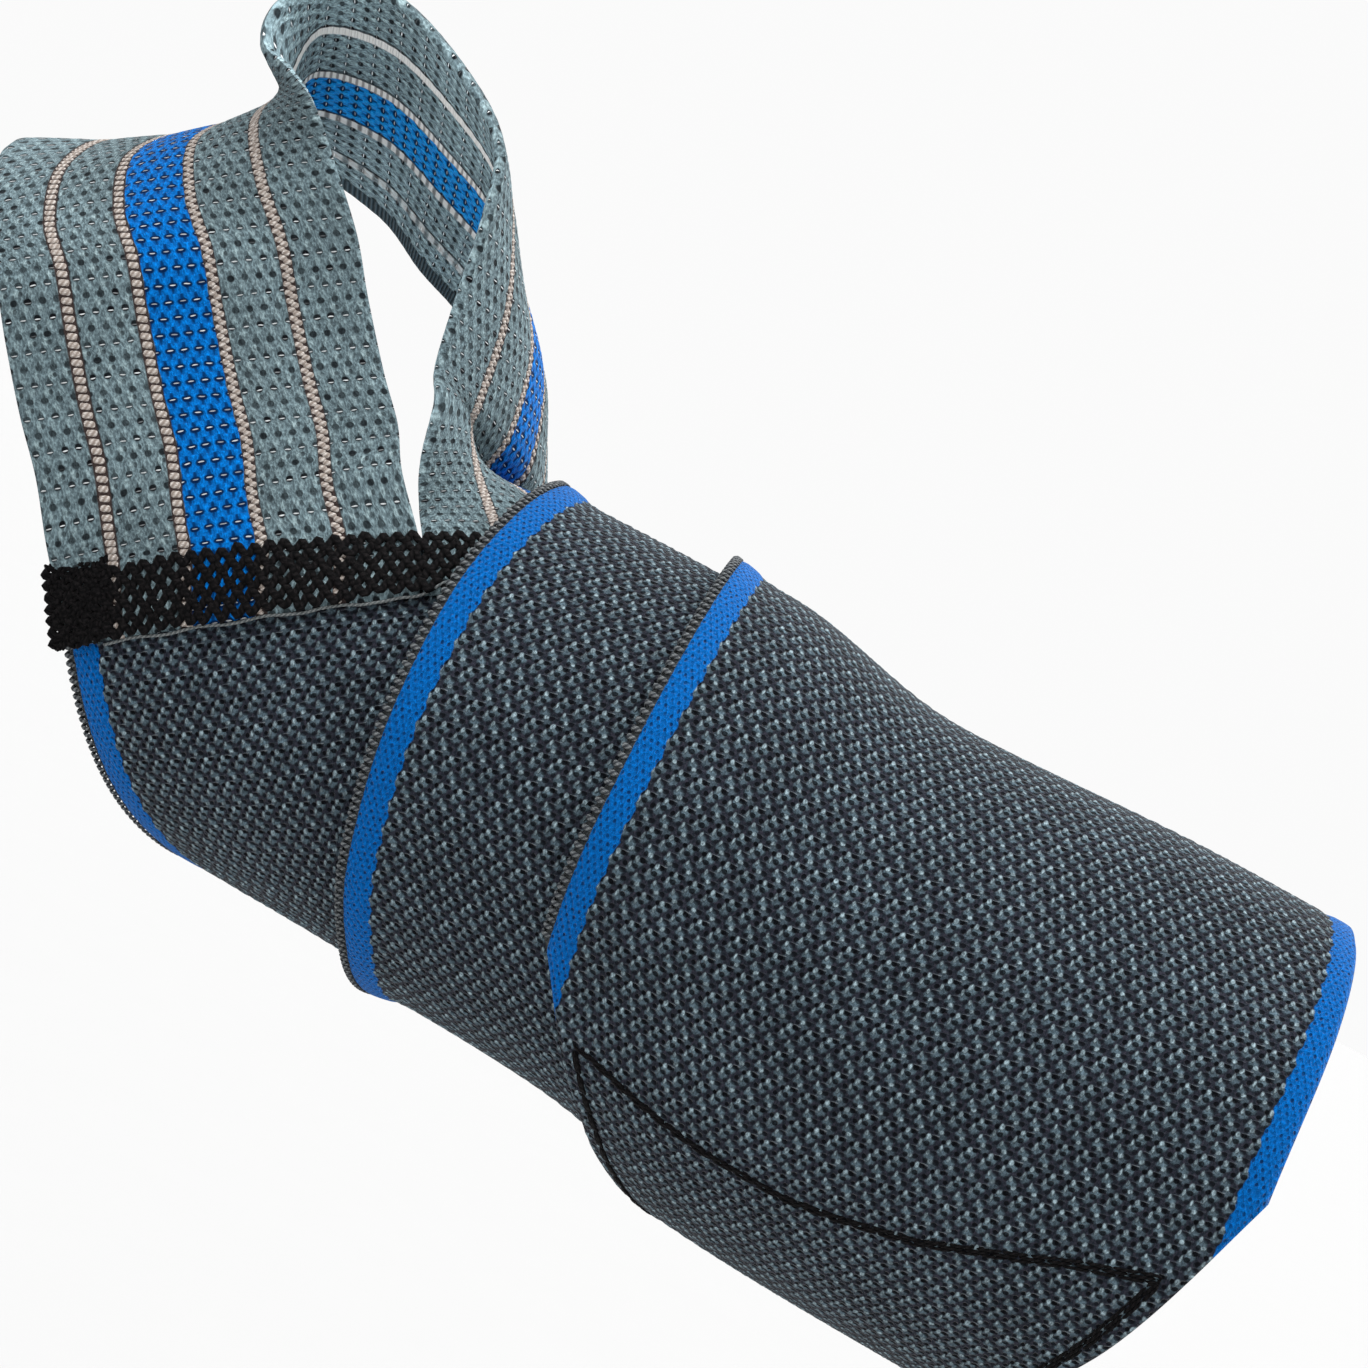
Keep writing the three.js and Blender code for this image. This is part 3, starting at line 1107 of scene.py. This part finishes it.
@dataclass(frozen=True)
class Yarn:
    """A sewing thread or a woven-in yarn: its colour, its twist and its fuzz."""

    name: str
    light: Colour
    shade: Colour
    twist: float = 0.55
    rough: float = 0.7
    sheen: float = 0.2
    contrast: float = 0.7

    def make(self) -> bpy.types.Material:
        """Writes the material.

        Returns:
            The material.
        """
        graph = Graph(self.name)
        along, around = graph.cloth()
        ply = (along / self.twist + around).wave(1.0) * 0.5 + 0.5
        fibre = graph.noise(along * 1.5 + around * 2.0, around * 6.0, 2.0, 2.0)
        colour = graph.mix(ply * self.contrast * fibre * 1.6, self.shade, self.light)
        graph.finish(colour, self.rough, ply * 0.7 + fibre * 0.4, 0.08, self.sheen)
        return graph.material


@dataclass(frozen=True)
class HookTape:
    """Black hook tape: rows of tiny hooks on a dull ground."""

    pitch: float = 1.2
    ground: Colour = linear(22, 24, 28)
    hook: Colour = linear(60, 63, 68)

    def make(self) -> bpy.types.Material:
        """Writes the material.

        Returns:
            The material.
        """
        graph = Graph("hook_tape")
        place = graph.node("ShaderNodeTexCoord", {}, {}, "Object")
        parts = graph.node("ShaderNodeSeparateXYZ", {}, {0: place})
        x = parts / METRE
        z = Sock(graph, parts.socket.node.outputs[2]) / METRE
        cell = Lattice(self.pitch, self.pitch, 0.5).cell(graph, z, x)
        dot = cell.spot(0.0, 0.0, 0.35, 0.3, 0.8)
        grain = graph.noise(x, z, 2.5, 3.0)
        colour = graph.mix(dot, graph.tint(self.ground, grain + 0.5), self.hook)
        graph.finish(colour, grain * 0.3 + 0.5, dot * 0.7 + grain * 0.3, 0.3, 0.1)
        return graph.material


@dataclass(frozen=True)
class Studio:
    """The plain pale floor."""

    pale: Colour = linear(175, 175, 175)

    def make(self) -> bpy.types.Material:
        """Writes the floor's material.

        Returns:
            The material.
        """
        graph = Graph("studio_floor")
        place = graph.node("ShaderNodeTexCoord", {}, {}, "Object")
        grain = graph.node("ShaderNodeTexNoise", {}, {"Vector": place, "Scale": 40.0})
        graph.finish(graph.tint(self.pale, grain * 0.01 + 0.99), 1.0, grain, 0.01, 0.0)
        return graph.material


def new_piece(
    name: str,
    points: Array,
    faces: Sequence[Sequence[int]],
    places: Array,
    materials: Sequence[bpy.types.Material],
    slots: Array | None = None,
) -> bpy.types.Object:
    """Makes a smooth mesh object that rides on the wrap.

    Args:
        name: The piece's name.
        points: Its vertices, in millimetres.
        faces: Its faces' vertex numbers.
        places: Each vertex's place on the flat cloth or thread, in millimetres.
        materials: Its materials.
        slots: Which material each face has, where there are several.

    Returns:
        The object.
    """
    mesh = bpy.data.meshes.new(name)
    mesh.from_pydata((points * METRE).tolist(), [], faces)
    corners = np.empty(len(mesh.loops), np.int32)
    mesh.loops.foreach_get("vertex_index", corners)
    layer = mesh.uv_layers.new(name="Cloth")
    layer.data.foreach_set("uv", (places[corners] / UV_MM).astype(np.float32).ravel())
    mesh.polygons.foreach_set("use_smooth", np.ones(len(mesh.polygons), bool))
    for material in materials:
        mesh.materials.append(material)
    if slots is not None:
        mesh.polygons.foreach_set("material_index", np.asarray(slots, np.int32))
    shaped = bmesh.new()
    shaped.from_mesh(mesh)
    bmesh.ops.recalc_face_normals(shaped, faces=shaped.faces)
    shaped.to_mesh(mesh)
    shaped.free()
    made = bpy.data.objects.new(name, mesh)
    bpy.context.scene.collection.objects.link(made)
    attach(made, BODY)
    LOG.info("%s: %d faces", name, len(mesh.polygons))
    return made


def grid_faces(rows: int, columns: int, first: int = 0) -> list[tuple[int, int, int, int]]:
    """The quads of a grid of vertices.

    Args:
        rows, columns: How many vertices it has each way.
        first: Its first vertex's number.

    Returns:
        The faces.
    """
    corner = (np.arange(rows - 1)[:, None] * columns + np.arange(columns - 1)[None, :]).ravel() + first
    quads = np.stack([corner, corner + columns, corner + columns + 1, corner + 1], 1)
    return [tuple(quad) for quad in quads.tolist()]


def rim_faces(outer: list[int], inner: list[int]) -> list[tuple[int, int, int]]:
    """Joins two rims of which the outer may have more vertices.

    Args:
        outer: The outer rim's vertices, in order round the cloth.
        inner: The inner rim's vertices, which the outer's are a whole multiple of.

    Returns:
        The triangles between them.
    """
    ratio = len(outer) // len(inner)
    faces = []
    for k in range(len(inner)):
        near, far = inner[k], inner[(k + 1) % len(inner)]
        run = [outer[(k * ratio + j) % len(outer)] for j in range(ratio + 1)]
        half = ratio // 2
        faces += [(run[j], run[j + 1], near) for j in range(half)]
        faces.append((run[half], far, near))
        faces += [(run[j], run[j + 1], far) for j in range(half, ratio)]
    return faces


def rim_of(rows: int, columns: int, first: int) -> list[int]:
    """The vertices round a grid's border.

    Args:
        rows, columns: How many vertices it has each way.
        first: Its first vertex's number.

    Returns:
        Their numbers, in order.
    """
    top = [first + c for c in range(columns)]
    right = [first + r * columns + columns - 1 for r in range(1, rows)]
    bottom = [first + (rows - 1) * columns + c for c in range(columns - 2, -1, -1)]
    left = [first + r * columns for r in range(rows - 2, 0, -1)]
    return top + right + bottom + left


def cloth_piece(
    name: str,
    outer: Array,
    inner: Array,
    outer_uv: Array,
    inner_uv: Array,
    materials: Sequence[bpy.types.Material],
) -> bpy.types.Object:
    """Makes a closed cloth from its two faces' grids.

    Args:
        name: The piece's name.
        outer, inner: The points of the two faces; the inner grid may be coarser by a whole number.
        outer_uv, inner_uv: Their places on the flat cloth.
        materials: The outer face's material and the inner's.

    Returns:
        The object.
    """
    (rows, columns), (inner_rows, inner_columns) = outer.shape[:2], inner.shape[:2]
    first = rows * columns
    faces = grid_faces(rows, columns) + grid_faces(inner_rows, inner_columns, first)
    rim = rim_faces(rim_of(rows, columns, 0), rim_of(inner_rows, inner_columns, first))
    outside = (rows - 1) * (columns - 1)
    inside = (inner_rows - 1) * (inner_columns - 1)
    slots = np.repeat([0, len(materials) - 1, 0], [outside, inside, len(rim)])
    points = np.concatenate([outer.reshape(-1, 3), inner.reshape(-1, 3)])
    places = np.concatenate([outer_uv.reshape(-1, 2), inner_uv.reshape(-1, 2)])
    return new_piece(name, points, faces + rim, places, materials, slots)


def thread_piece(
    name: str,
    paths: Array,
    away: Array,
    wide: float | Array,
    tall: float,
    material: bpy.types.Material,
    sides: int = 6,
    pointed: float = 1.0,
) -> bpy.types.Object:
    """Makes threads along paths that all have the same number of points.

    Args:
        name: The piece's name.
        paths: The points of each path, by path, point and coordinate.
        away: Outward directions for the same points.
        wide: Half the thread's width along the cloth, or each path's own.
        tall: Half its height off the cloth.
        material: The thread's material.
        sides: How many sides the thread has.
        pointed: The size of its two end rings as a share of the others.

    Returns:
        The object.
    """
    count, points = paths.shape[:2]
    ahead = unit(np.gradient(paths, axis=1))
    side = unit(np.cross(ahead, away))
    up = unit(np.cross(side, ahead))
    turn = np.arange(sides) / sides * math.tau
    swell = np.ones(points)
    swell[[0, -1]] = pointed
    ring = (
        side[:, :, None] * (np.cos(turn) * np.reshape(wide, (-1, 1)))[:, None, :, None]
        + up[:, :, None] * (np.sin(turn) * tall)[None, None, :, None]
    ) * swell[None, :, None, None]
    vertices = (paths[:, :, None] + ring).reshape(-1, 3)
    steps = np.linalg.norm(np.diff(paths, axis=1), axis=-1)
    travel = np.concatenate([np.zeros((count, 1)), np.cumsum(steps, axis=1)], 1)
    shape = (count, points, sides)
    along = np.broadcast_to(travel[:, :, None] + np.arange(count)[:, None, None] * 0.37, shape)
    around = np.broadcast_to(np.abs(turn / math.tau * 2 - 1)[None, None], shape)
    places = np.stack([along, around], -1).reshape(-1, 2)
    start = (np.arange(count)[:, None, None] * points + np.arange(points - 1)[None, :, None]) * sides
    here = np.arange(sides)[None, None]
    after = (here + 1) % sides
    quads = np.stack([start + here, start + after, start + sides + after, start + sides + here], -1)
    faces = [tuple(quad) for quad in quads.reshape(-1, 4).tolist()]
    for run in range(count):
        low, high = run * points * sides, (run * points + points - 1) * sides
        faces.append(tuple(range(low, low + sides)))
        faces.append(tuple(range(high, high + sides)))
    return new_piece(name, vertices, faces, places, [material])


@dataclass
class Band:
    """The wound strip with its edge stitches and its tab's stitching."""

    strip: Strip
    rows: int = 500
    columns: int = 146
    rounded: float = 0.7
    relief: float = 0.13
    overlock_pitch: float = 0.92
    overlock_width: float = 0.85
    overlock_halves: tuple[float, float] = (0.3, 0.17)
    stitch_halves: tuple[float, float] = (0.18, 0.16)
    stitch_rows: tuple[float, ...] = (-0.27, 0.0, 0.27)
    stitch_length: float = 2.6
    stitch_spread: tuple[float, float] = (0.6, 1.5)
    margin: float = 2.4
    tab_line: tuple[tuple[float, float], ...] = (
        (-0.93, 743.5), (-0.7, 747.5), (-0.45, 751), (-0.17, 753.5), (0.02, 753.2),
        (0.27, 752), (0.48, 749), (0.7, 746), (0.93, 744),
    )
    turns: Array = field(init=False)
    travels: Array = field(init=False)
    length: float = field(init=False)

    def __post_init__(self) -> None:
        """Measures the strip along its middle, so that the weave has an even pitch."""
        self.turns = np.linspace(self.strip.start, self.strip.tip, 1200)
        self.travels = self.strip.travel(self.turns)
        self.length = float(self.travels[-1])

    def turn_at(self, travel: Array) -> Array:
        """Degrees of winding at a length along the strip."""
        return np.interp(travel, self.travels, self.turns)

    def bumps(self, weave: BandWeave, along: Array, across: Array) -> Array:
        """The weave's relief, which its material repeats in colour.

        Args:
            weave: The finish, which has the floats' places.
            along: Millimetres along the strip.
            across: Millimetres from its hand edge.

        Returns:
            The relief's height, from about -1 to 1.
        """
        height = np.zeros(np.broadcast(along, across).shape)
        for kind in weave.floats:
            a = (across - kind.across) / weave.pitch
            b = (along - kind.along) / weave.repeat
            a = (a - np.floor(a + 0.5)) * weave.pitch
            b = (b - np.floor(b + 0.5)) * weave.repeat
            height += kind.light * bell(a - 0.05, 0.36) * bell(b - 0.1, 0.45)
            height -= 0.8 * kind.hole * bell(a - 0.52, 0.3) * bell(b, 0.3)
        return height

    def build(self, weave: BandWeave) -> bpy.types.Object:
        """Builds the cloth.

        Args:
            weave: Its finish.

        Returns:
            The piece, which stands for the CAD strip.
        """
        travel = np.linspace(0, self.length, self.rows + 1)[:, None]
        turn = self.turn_at(travel)
        half = self.strip.half(turn)
        across = np.linspace(-1, 1, self.columns + 1)[None, :] * half
        place = across + self.strip.width / 2
        inset = half - np.abs(across)
        ends = np.minimum(travel, self.length - travel)
        near = np.minimum(inset, ends + 0 * inset)
        fall = 1 - np.sqrt(1 - (1 - np.clip(near / self.rounded, 0, 1)) ** 2)
        middle = self.strip.thickness / 2
        stripe = np.minimum(np.abs(place - sum(weave.stripe) / 2), np.abs(place - weave.width + 1.4))
        plain = smooth(1.4, 1.9, stripe)
        relief = self.relief * self.bumps(weave, travel, place) * plain
        relief = relief + 0.12 * (1 - smooth(0.6, 1.5, stripe)) - 0.14 * bell(stripe - 1.75, 0.3)
        outer = self.strip.point(turn, across, middle * (2 - fall) + relief * smooth(0, 0.5, near))
        inner = self.strip.point(turn, across, middle * fall)[::2, ::2]
        uv = np.stack([travel + 0 * place, place + 0 * travel], -1)
        material = weave.make()
        cloth = cloth_piece("wrap_cloth", outer, inner, uv, uv[::2, ::2], [material])
        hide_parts("wrap_band")
        return cloth

    def overlock(self, yarn: Yarn) -> bpy.types.Object:
        """Builds the selvedge's stitches over the hand edge, up to where the tab is cut.

        Args:
            yarn: Their finish.

        Returns:
            The piece.
        """
        end = np.interp(self.strip.shoulder, self.turns, self.travels)
        travel = np.arange(0.6, end, self.overlock_pitch)[:, None]
        bend = np.linspace(-1, 1, 9)[None, :]
        turned = bend * math.pi / 2
        reach = np.clip(np.abs(bend) - 0.35, 0, 1) / 0.65 * self.overlock_width
        across = -self.strip.width / 2 + reach - 0.12 * np.cos(turned)
        half = self.strip.thickness / 2
        offset = half + (half + 0.04) * np.sin(np.clip(bend * 2.4, -1, 1) * math.pi / 2)
        turn = self.turn_at(travel + 0.25 * bend)
        paths = self.strip.point(turn, across, offset)
        away = unit(paths - self.strip.point(turn, across * 0 - self.strip.width / 2 + 0.6, half))
        piece = thread_piece("wrap_overlock", paths, away, *self.overlock_halves, yarn.make(), 6, 0.6)
        return piece

    def tab_path(self) -> Array:
        """The tab's stitching line, closed round the hook patch.

        Returns:
            Its points as turns and places across.
        """
        top = np.array([(turn, side * self.strip.half(np.array(turn))) for side, turn in self.tab_line])
        legs = np.linspace(top[-1, 0] + 1.5, self.strip.tip - 5, 12)
        edge = self.strip.half(legs) - self.margin
        right = np.stack([legs, edge], 1)
        left = np.stack([legs, -edge], 1)[::-1]
        return np.concatenate([top, right, left, top[:1]])

    def tab_stitching(self, yarn: Yarn) -> bpy.types.Object:
        """Builds the rows of stitches that hold the hook patch.

        Args:
            yarn: Their finish.

        Returns:
            The piece.
        """
        corner = self.tab_path()
        flat = np.stack([np.interp(corner[:, 0], self.turns, self.travels), corner[:, 1]], 1)
        runs, outs = [], []
        for row, shift in enumerate(self.stitch_rows):
            step = np.gradient(flat, axis=0)
            sides = [-self.strip.width / 2, self.strip.width / 2]
            spread = np.interp(flat[:, 1], sides, self.stitch_spread)[:, None]
            beside = unit(np.stack([-step[:, 1], step[:, 0]], 1)) * shift * spread
            line = flat + beside
            travelled = np.concatenate([[0], np.cumsum(np.linalg.norm(np.diff(line, axis=0), axis=1))])
            stitches = np.arange(row * 0.9, travelled[-1] - self.stitch_length, self.stitch_length)
            t = np.linspace(0, 1, 7)[None, :]
            at = stitches[:, None] + t * self.stitch_length
            along = np.interp(at, travelled, line[:, 0])
            across = np.interp(at, travelled, line[:, 1])
            lift = self.strip.thickness - 0.1 + 0.24 * np.sqrt(np.clip(np.sin(t * math.pi), 0, 1))
            turn = self.turn_at(along)
            runs.append(self.strip.point(turn, across, lift + 0 * at))
            outs.append(unit(self.strip.point(turn, across, lift + 1 + 0 * at) - runs[-1]))
        paths, away = np.concatenate(runs), np.concatenate(outs)
        piece = thread_piece("tab_stitching", paths, away, *self.stitch_halves, yarn.make(), 6, 0.6)
        return piece


@dataclass
class ThumbLoop:
    """The strap with its ladder stitches and the seam that sews both its ends down."""

    strap: Strap
    dome: float = 0.36
    rounded: float = 0.6
    bar_pitch: float = 0.93
    seam_height: float = 6.7
    zigzag_rows: int = 6
    zigzag_period: float = 1.6
    bartack: tuple[float, float] = (6.4, 8.2)
    bar_halves: tuple[float, float, float] = (0.37, 0.31, 0.15)
    seam_halves: tuple[float, float] = (0.44, 0.28)
    block_halves: tuple[float, float] = (0.3, 0.26)
    raw_halves: tuple[float, float] = (0.17, 0.15)

    def profile(self, weave: StrapWeave, across: Array) -> Array:
        """How the strap bulges between its lines.

        Args:
            weave: Its finish, which has the lines' places.
            across: Millimetres from its far edge.

        Returns:
            The bulge as a share, from 0 on a line to 1 between two.
        """
        middles = np.array([-0.8, *(sum(line) / 2 for line in weave.lines), self.strap.width + 0.8])
        after = np.clip(np.searchsorted(middles, across), 1, len(middles) - 1)
        low, high = middles[after - 1], middles[after]
        share = np.clip((across - low) / (high - low), 0, 1)
        return np.clip(4 * share * (1 - share), 0, 1) ** 0.45

    def build(self, outside: StrapWeave, inside: StrapWeave) -> bpy.types.Object:
        """Builds the strap.

        Args:
            outside, inside: Its two faces' finishes.

        Returns:
            The piece, which stands for the CAD strap.
        """
        rows, columns = self.strap.spots.shape[:2]
        along = np.linspace(0, self.strap.length, rows)[:, None]
        across = np.linspace(0, self.strap.width, columns)[None, :]
        inset = np.minimum(across, self.strap.width - across)
        near = np.minimum(inset, np.minimum(along, self.strap.length - along))
        fall = 1 - np.sqrt(1 - (1 - np.clip(near / self.rounded, 0, 1)) ** 2)
        half = self.strap.thickness / 2 * (1 - fall)
        bulge = self.dome * (self.profile(outside, across) - 0.75)
        wale = np.cos((across - outside.blue_stripe[0] - outside.wale / 2) / outside.wale * math.tau)
        row = np.cos(along / outside.row * math.tau)
        weave = 0.05 * wale * row
        rise = np.clip(near / 1.5, 0, 1)
        outer = self.strap.point(along, across, half + (bulge + weave) * rise)
        inner = self.strap.point(along, across, -half - (bulge * 0.4 + weave) * rise)
        uv = np.stack([along + 0 * across, across + 0 * along], -1)
        strap = cloth_piece("thumb_strap", outer, inner, uv, uv, [outside.make(), inside.make()])
        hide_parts("thumb_loop")
        return strap

    def ladders(self, weave: StrapWeave, yarn: Yarn) -> bpy.types.Object:
        """Builds the pale bars: single ladders on the first two lines, staggered pairs on the others.

        Args:
            weave: The strap's finish, which has the lines' places.
            yarn: The bars' finish.

        Returns:
            The piece.
        """
        starts, lows, highs, wides = [], [], [], []
        for number, (low, high) in enumerate(weave.lines):
            single = number < 2
            short = 0.35 * (high - low)
            spans = [(low - 0.04, high + 0.04)]
            if not single:
                spans = [(low - 0.05, high - short), (low + short, high + 0.05)]
            for side, (left, right) in enumerate(spans):
                at = np.arange(0.5, self.strap.length - 0.5, self.bar_pitch) + side * self.bar_pitch / 2
                starts.append(at)
                lows.append(np.full(len(at), left))
                highs.append(np.full(len(at), right))
                wides.append(np.full(len(at), self.bar_halves[0 if single else 1]))
        at, low, high = (np.concatenate(v)[:, None] for v in (starts, lows, highs))
        t = np.linspace(0, 1, 5)[None, :]
        across = low + (high - low) * t
        slant = 0.34 * (0.5 - t)
        arch = np.sqrt(np.clip(np.sin(t * math.pi) * 1.6, 0, 1))
        base = self.strap.thickness / 2 - self.dome * 0.75 - 0.06
        paths = self.strap.point(at + slant, across, base + 0.2 * arch)
        away = unit(self.strap.point(at + slant, across, base + 0.2 * arch + 1) - paths)
        wide = np.concatenate(wides)
        piece = thread_piece("strap_ladders", paths, away, wide, self.bar_halves[2], yarn.make(), 8, 0.95)
        return piece

    def seam_point(self, down: Array, across: Array, lift: Array) -> Array:
        """Points over the sewn ends, on the strip's own lines.

        Args:
            down: Millimetres down the strip from its start.
            across: Millimetres from the strip's middle.
            lift: Millimetres above the strap's outer face.

        Returns:
            The points.
        """
        strip = self.strap.strip
        lean = math.radians(strip.winding[0].lean)
        turn = strip.start + down * math.cos(lean) / strip.wrist.mm_per_degree
        x, wound, _ = strip.lay(turn + 0 * across, across + 0 * turn)
        return strip.wrist.point(x, -wound, self.strap.seat() + self.strap.thickness / 2 + lift)

    def seam(self, yarn: Yarn) -> bpy.types.Object:
        """Builds the zigzag rows over both sewn ends.

        Args:
            yarn: Their finish.

        Returns:
            The piece.
        """
        half = self.strap.strip.width / 2
        across = np.arange(-half - 0.3, half - 6, self.zigzag_period / 10)
        chance = np.random.default_rng(7)
        knots = np.arange(across[0] - 1, across[-1] + 1, self.zigzag_period / 2)
        runs, outs = [], []
        for row in range(self.zigzag_rows):
            middle = 0.6 + row * (self.seam_height - 1.2) / (self.zigzag_rows - 1)
            phase = across / self.zigzag_period + row * 0.5
            swing = np.abs((phase % 1) * 2 - 1) * 2 - 1
            down = middle + 0.56 * swing + np.interp(across, knots, chance.normal(0, 0.13, len(knots)))
            aside = across + np.interp(across, knots, chance.normal(0, 0.12, len(knots)))
            lift = 0.12 + 0.1 * np.cos(phase * math.tau * 2) + np.interp(
                across, knots, chance.uniform(-0.08, 0.1, len(knots))
            )
            runs.append(self.seam_point(down, aside, lift))
            outs.append(unit(self.seam_point(down, aside, lift + 1) - runs[-1]))
        piece = thread_piece("seam_zigzag", np.array(runs), np.array(outs), *self.seam_halves, yarn.make(), 6)
        return piece

    def raw_edge(self, yarn: Yarn) -> bpy.types.Object:
        """Builds the light yarn of the strap's cut ends, which shows under the seam and rises at one corner.

        Args:
            yarn: Their finish.

        Returns:
            The piece.
        """
        half = self.strap.strip.width / 2
        across = np.linspace(-half + 5, half - 8, 160)
        bump = bell(across - 2.6, 1.9)
        down = self.strap.overlap + 0.15 + 0.12 * np.sin(across * 0.9) - 1.1 * bump
        lift = -0.5 + 0.9 * bump + 0.06 * np.sin(across * 2.3)
        run = self.seam_point(down, across, lift)
        out = unit(self.seam_point(down, across, lift + 1) - run)
        piece = thread_piece("strap_raw_edge", run[None], out[None], *self.raw_halves, yarn.make(), 5)
        return piece

    def end_block(self, yarn: Yarn) -> bpy.types.Object:
        """Builds the dense block of stitches at the seam's outer end.

        Args:
            yarn: Its finish.

        Returns:
            The piece.
        """
        half = self.strap.strip.width / 2
        wide, tall = self.bartack
        lines = np.arange(0, wide, 0.42)[:, None]
        t = np.linspace(0, 1, 40)[None, :]
        swing = 0.3 * np.sin(t * 46 + lines * 3)
        across = -half - 0.35 + lines + swing
        down = -1.2 + (tall - 0.06 * lines * wide / 7) * t + 0.25 * np.sin(lines * 7)
        lift = 0.14 + 0.14 * np.sin(t * 63 + lines * 5)
        paths = self.seam_point(down, across, lift)
        away = unit(self.seam_point(down, across, lift + 1) - paths)
        piece = thread_piece("seam_end_block", paths, away, *self.block_halves, yarn.make(), 6, 0.5)
        return piece


class Lamp(NamedTuple):
    """A soft, far light: its name, the way that it comes from, how wide it looks and its strength."""

    name: str
    place: tuple[float, float, float]
    spread: float
    power: float


@dataclass
class Stage:
    """The floor, the lights and the camera at the photograph's angle."""

    azimuth: float = 9.0
    elevation: float = 4.0
    roll: float = 28.0
    view: float = 27.0
    distance: float = 312.0
    target: tuple[float, float, float] = (-7.0, 0.0, 18.5)
    floor_drop: float = 0.16
    floor_size: float = 6.0
    sky: float = 0.96
    lamps: tuple[Lamp, ...] = (
        Lamp("overhead", (0.15, -0.1, 1.0), 60.0, 2.8),
        Lamp("side", (-0.7, -0.7, 0.5), 40.0, 0.4),
        Lamp("rim", (0.35, 0.85, 0.5), 50.0, 2.3),
    )

    def camera(self) -> bpy.types.Object:
        """Places the camera.

        Returns:
            The camera.
        """
        az, el, roll = (math.radians(v) for v in (self.azimuth, self.elevation, self.roll))
        back = Vector((math.sin(az) * math.cos(el), -math.cos(az) * math.cos(el), math.sin(el)))
        level = Vector((math.cos(az), math.sin(az), 0))
        top = back.cross(level)
        right = level * math.cos(roll) + top * math.sin(roll)
        up = top * math.cos(roll) - level * math.sin(roll)
        made = bpy.data.objects.new("camera", bpy.data.cameras.new("camera"))
        made.data.sensor_fit = "HORIZONTAL"
        made.data.sensor_width = 36.0
        made.data.lens = 18.0 / math.tan(math.radians(self.view) / 2)
        made.data.clip_start = 0.01
        turned = Matrix((right, up, back)).transposed().to_4x4()
        place = (Vector(self.target) + back * self.distance) * METRE
        made.matrix_world = Matrix.Translation(place) @ turned
        bpy.context.scene.collection.objects.link(made)
        bpy.context.scene.camera = made
        return made

    def light(self, lamp: Lamp) -> None:
        """Adds a light that reaches wrap and floor alike.

        Args:
            lamp: The light.
        """
        made = bpy.data.objects.new(lamp.name, bpy.data.lights.new(lamp.name, "SUN"))
        made.data.angle = math.radians(lamp.spread)
        made.data.energy = lamp.power
        made.location = lamp.place
        made.rotation_euler = Vector(lamp.place).to_track_quat("Z", "Y").to_euler()
        bpy.context.scene.collection.objects.link(made)

    def build(self, floor: Studio) -> None:
        """Builds the studio.

        Args:
            floor: The floor's finish.
        """
        scene = bpy.context.scene
        scene.view_settings.view_transform = "Standard"
        world = bpy.data.worlds.new("studio")
        scene.world = world
        world.use_nodes = True
        sky = world.node_tree.nodes["Background"]
        sky.inputs["Color"].default_value = (1, 1, 1, 1)
        sky.inputs["Strength"].default_value = self.sky
        half = self.floor_size / 2
        corners = [(-half, -half, 0), (half, -half, 0), (half, half, 0), (-half, half, 0)]
        mesh = bpy.data.meshes.new("floor")
        mesh.from_pydata(corners, [], [(0, 1, 2, 3)])
        mesh.materials.append(floor.make())
        sheet = bpy.data.objects.new("floor", mesh)
        sheet.location.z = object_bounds()[0][2] - self.floor_drop
        scene.collection.objects.link(sheet)
        sheet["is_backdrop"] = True
        for lamp in self.lamps:
            self.light(lamp)
        self.camera()


def main() -> None:
    """Builds the wrap, its stitching and the studio."""
    logging.basicConfig(level=logging.INFO, format="%(name)s %(message)s")
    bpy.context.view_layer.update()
    strip = Strip(Wrist())
    strap = Strap(strip)
    band = Band(strip)
    loop = ThumbLoop(strap)
    outside, inside = StrapWeave(Face.OUTER), StrapWeave(Face.INNER)
    grey = Yarn("overlock_thread", linear(140, 145, 146), linear(50, 53, 58), sheen=0.03)
    black = Yarn("black_thread", linear(29, 26, 27), linear(4, 4, 5), twist=0.8, sheen=0.02)
    pale = Yarn("ladder_thread", linear(222, 216, 210), linear(140, 128, 120), sheen=0.03)

    cloth = band.build(BandWeave())
    overlock = band.overlock(grey)
    stitching = band.tab_stitching(black)
    strap_piece = loop.build(outside, inside)
    ladders = loop.ladders(outside, pale)
    zigzag = loop.seam(black)
    block = loop.end_block(black)
    raw = loop.raw_edge(Yarn("cut_yarn", linear(158, 162, 162), linear(90, 96, 98)))
    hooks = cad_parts["hook_patch"]
    hooks.data.materials.clear()
    hooks.data.materials.append(HookTape().make())

    LOG.info("flat strip %.1f mm, flat strap %.1f mm", band.length, strap.length)

    Stage().build(Studio())


if __name__ == "__main__":
    main()
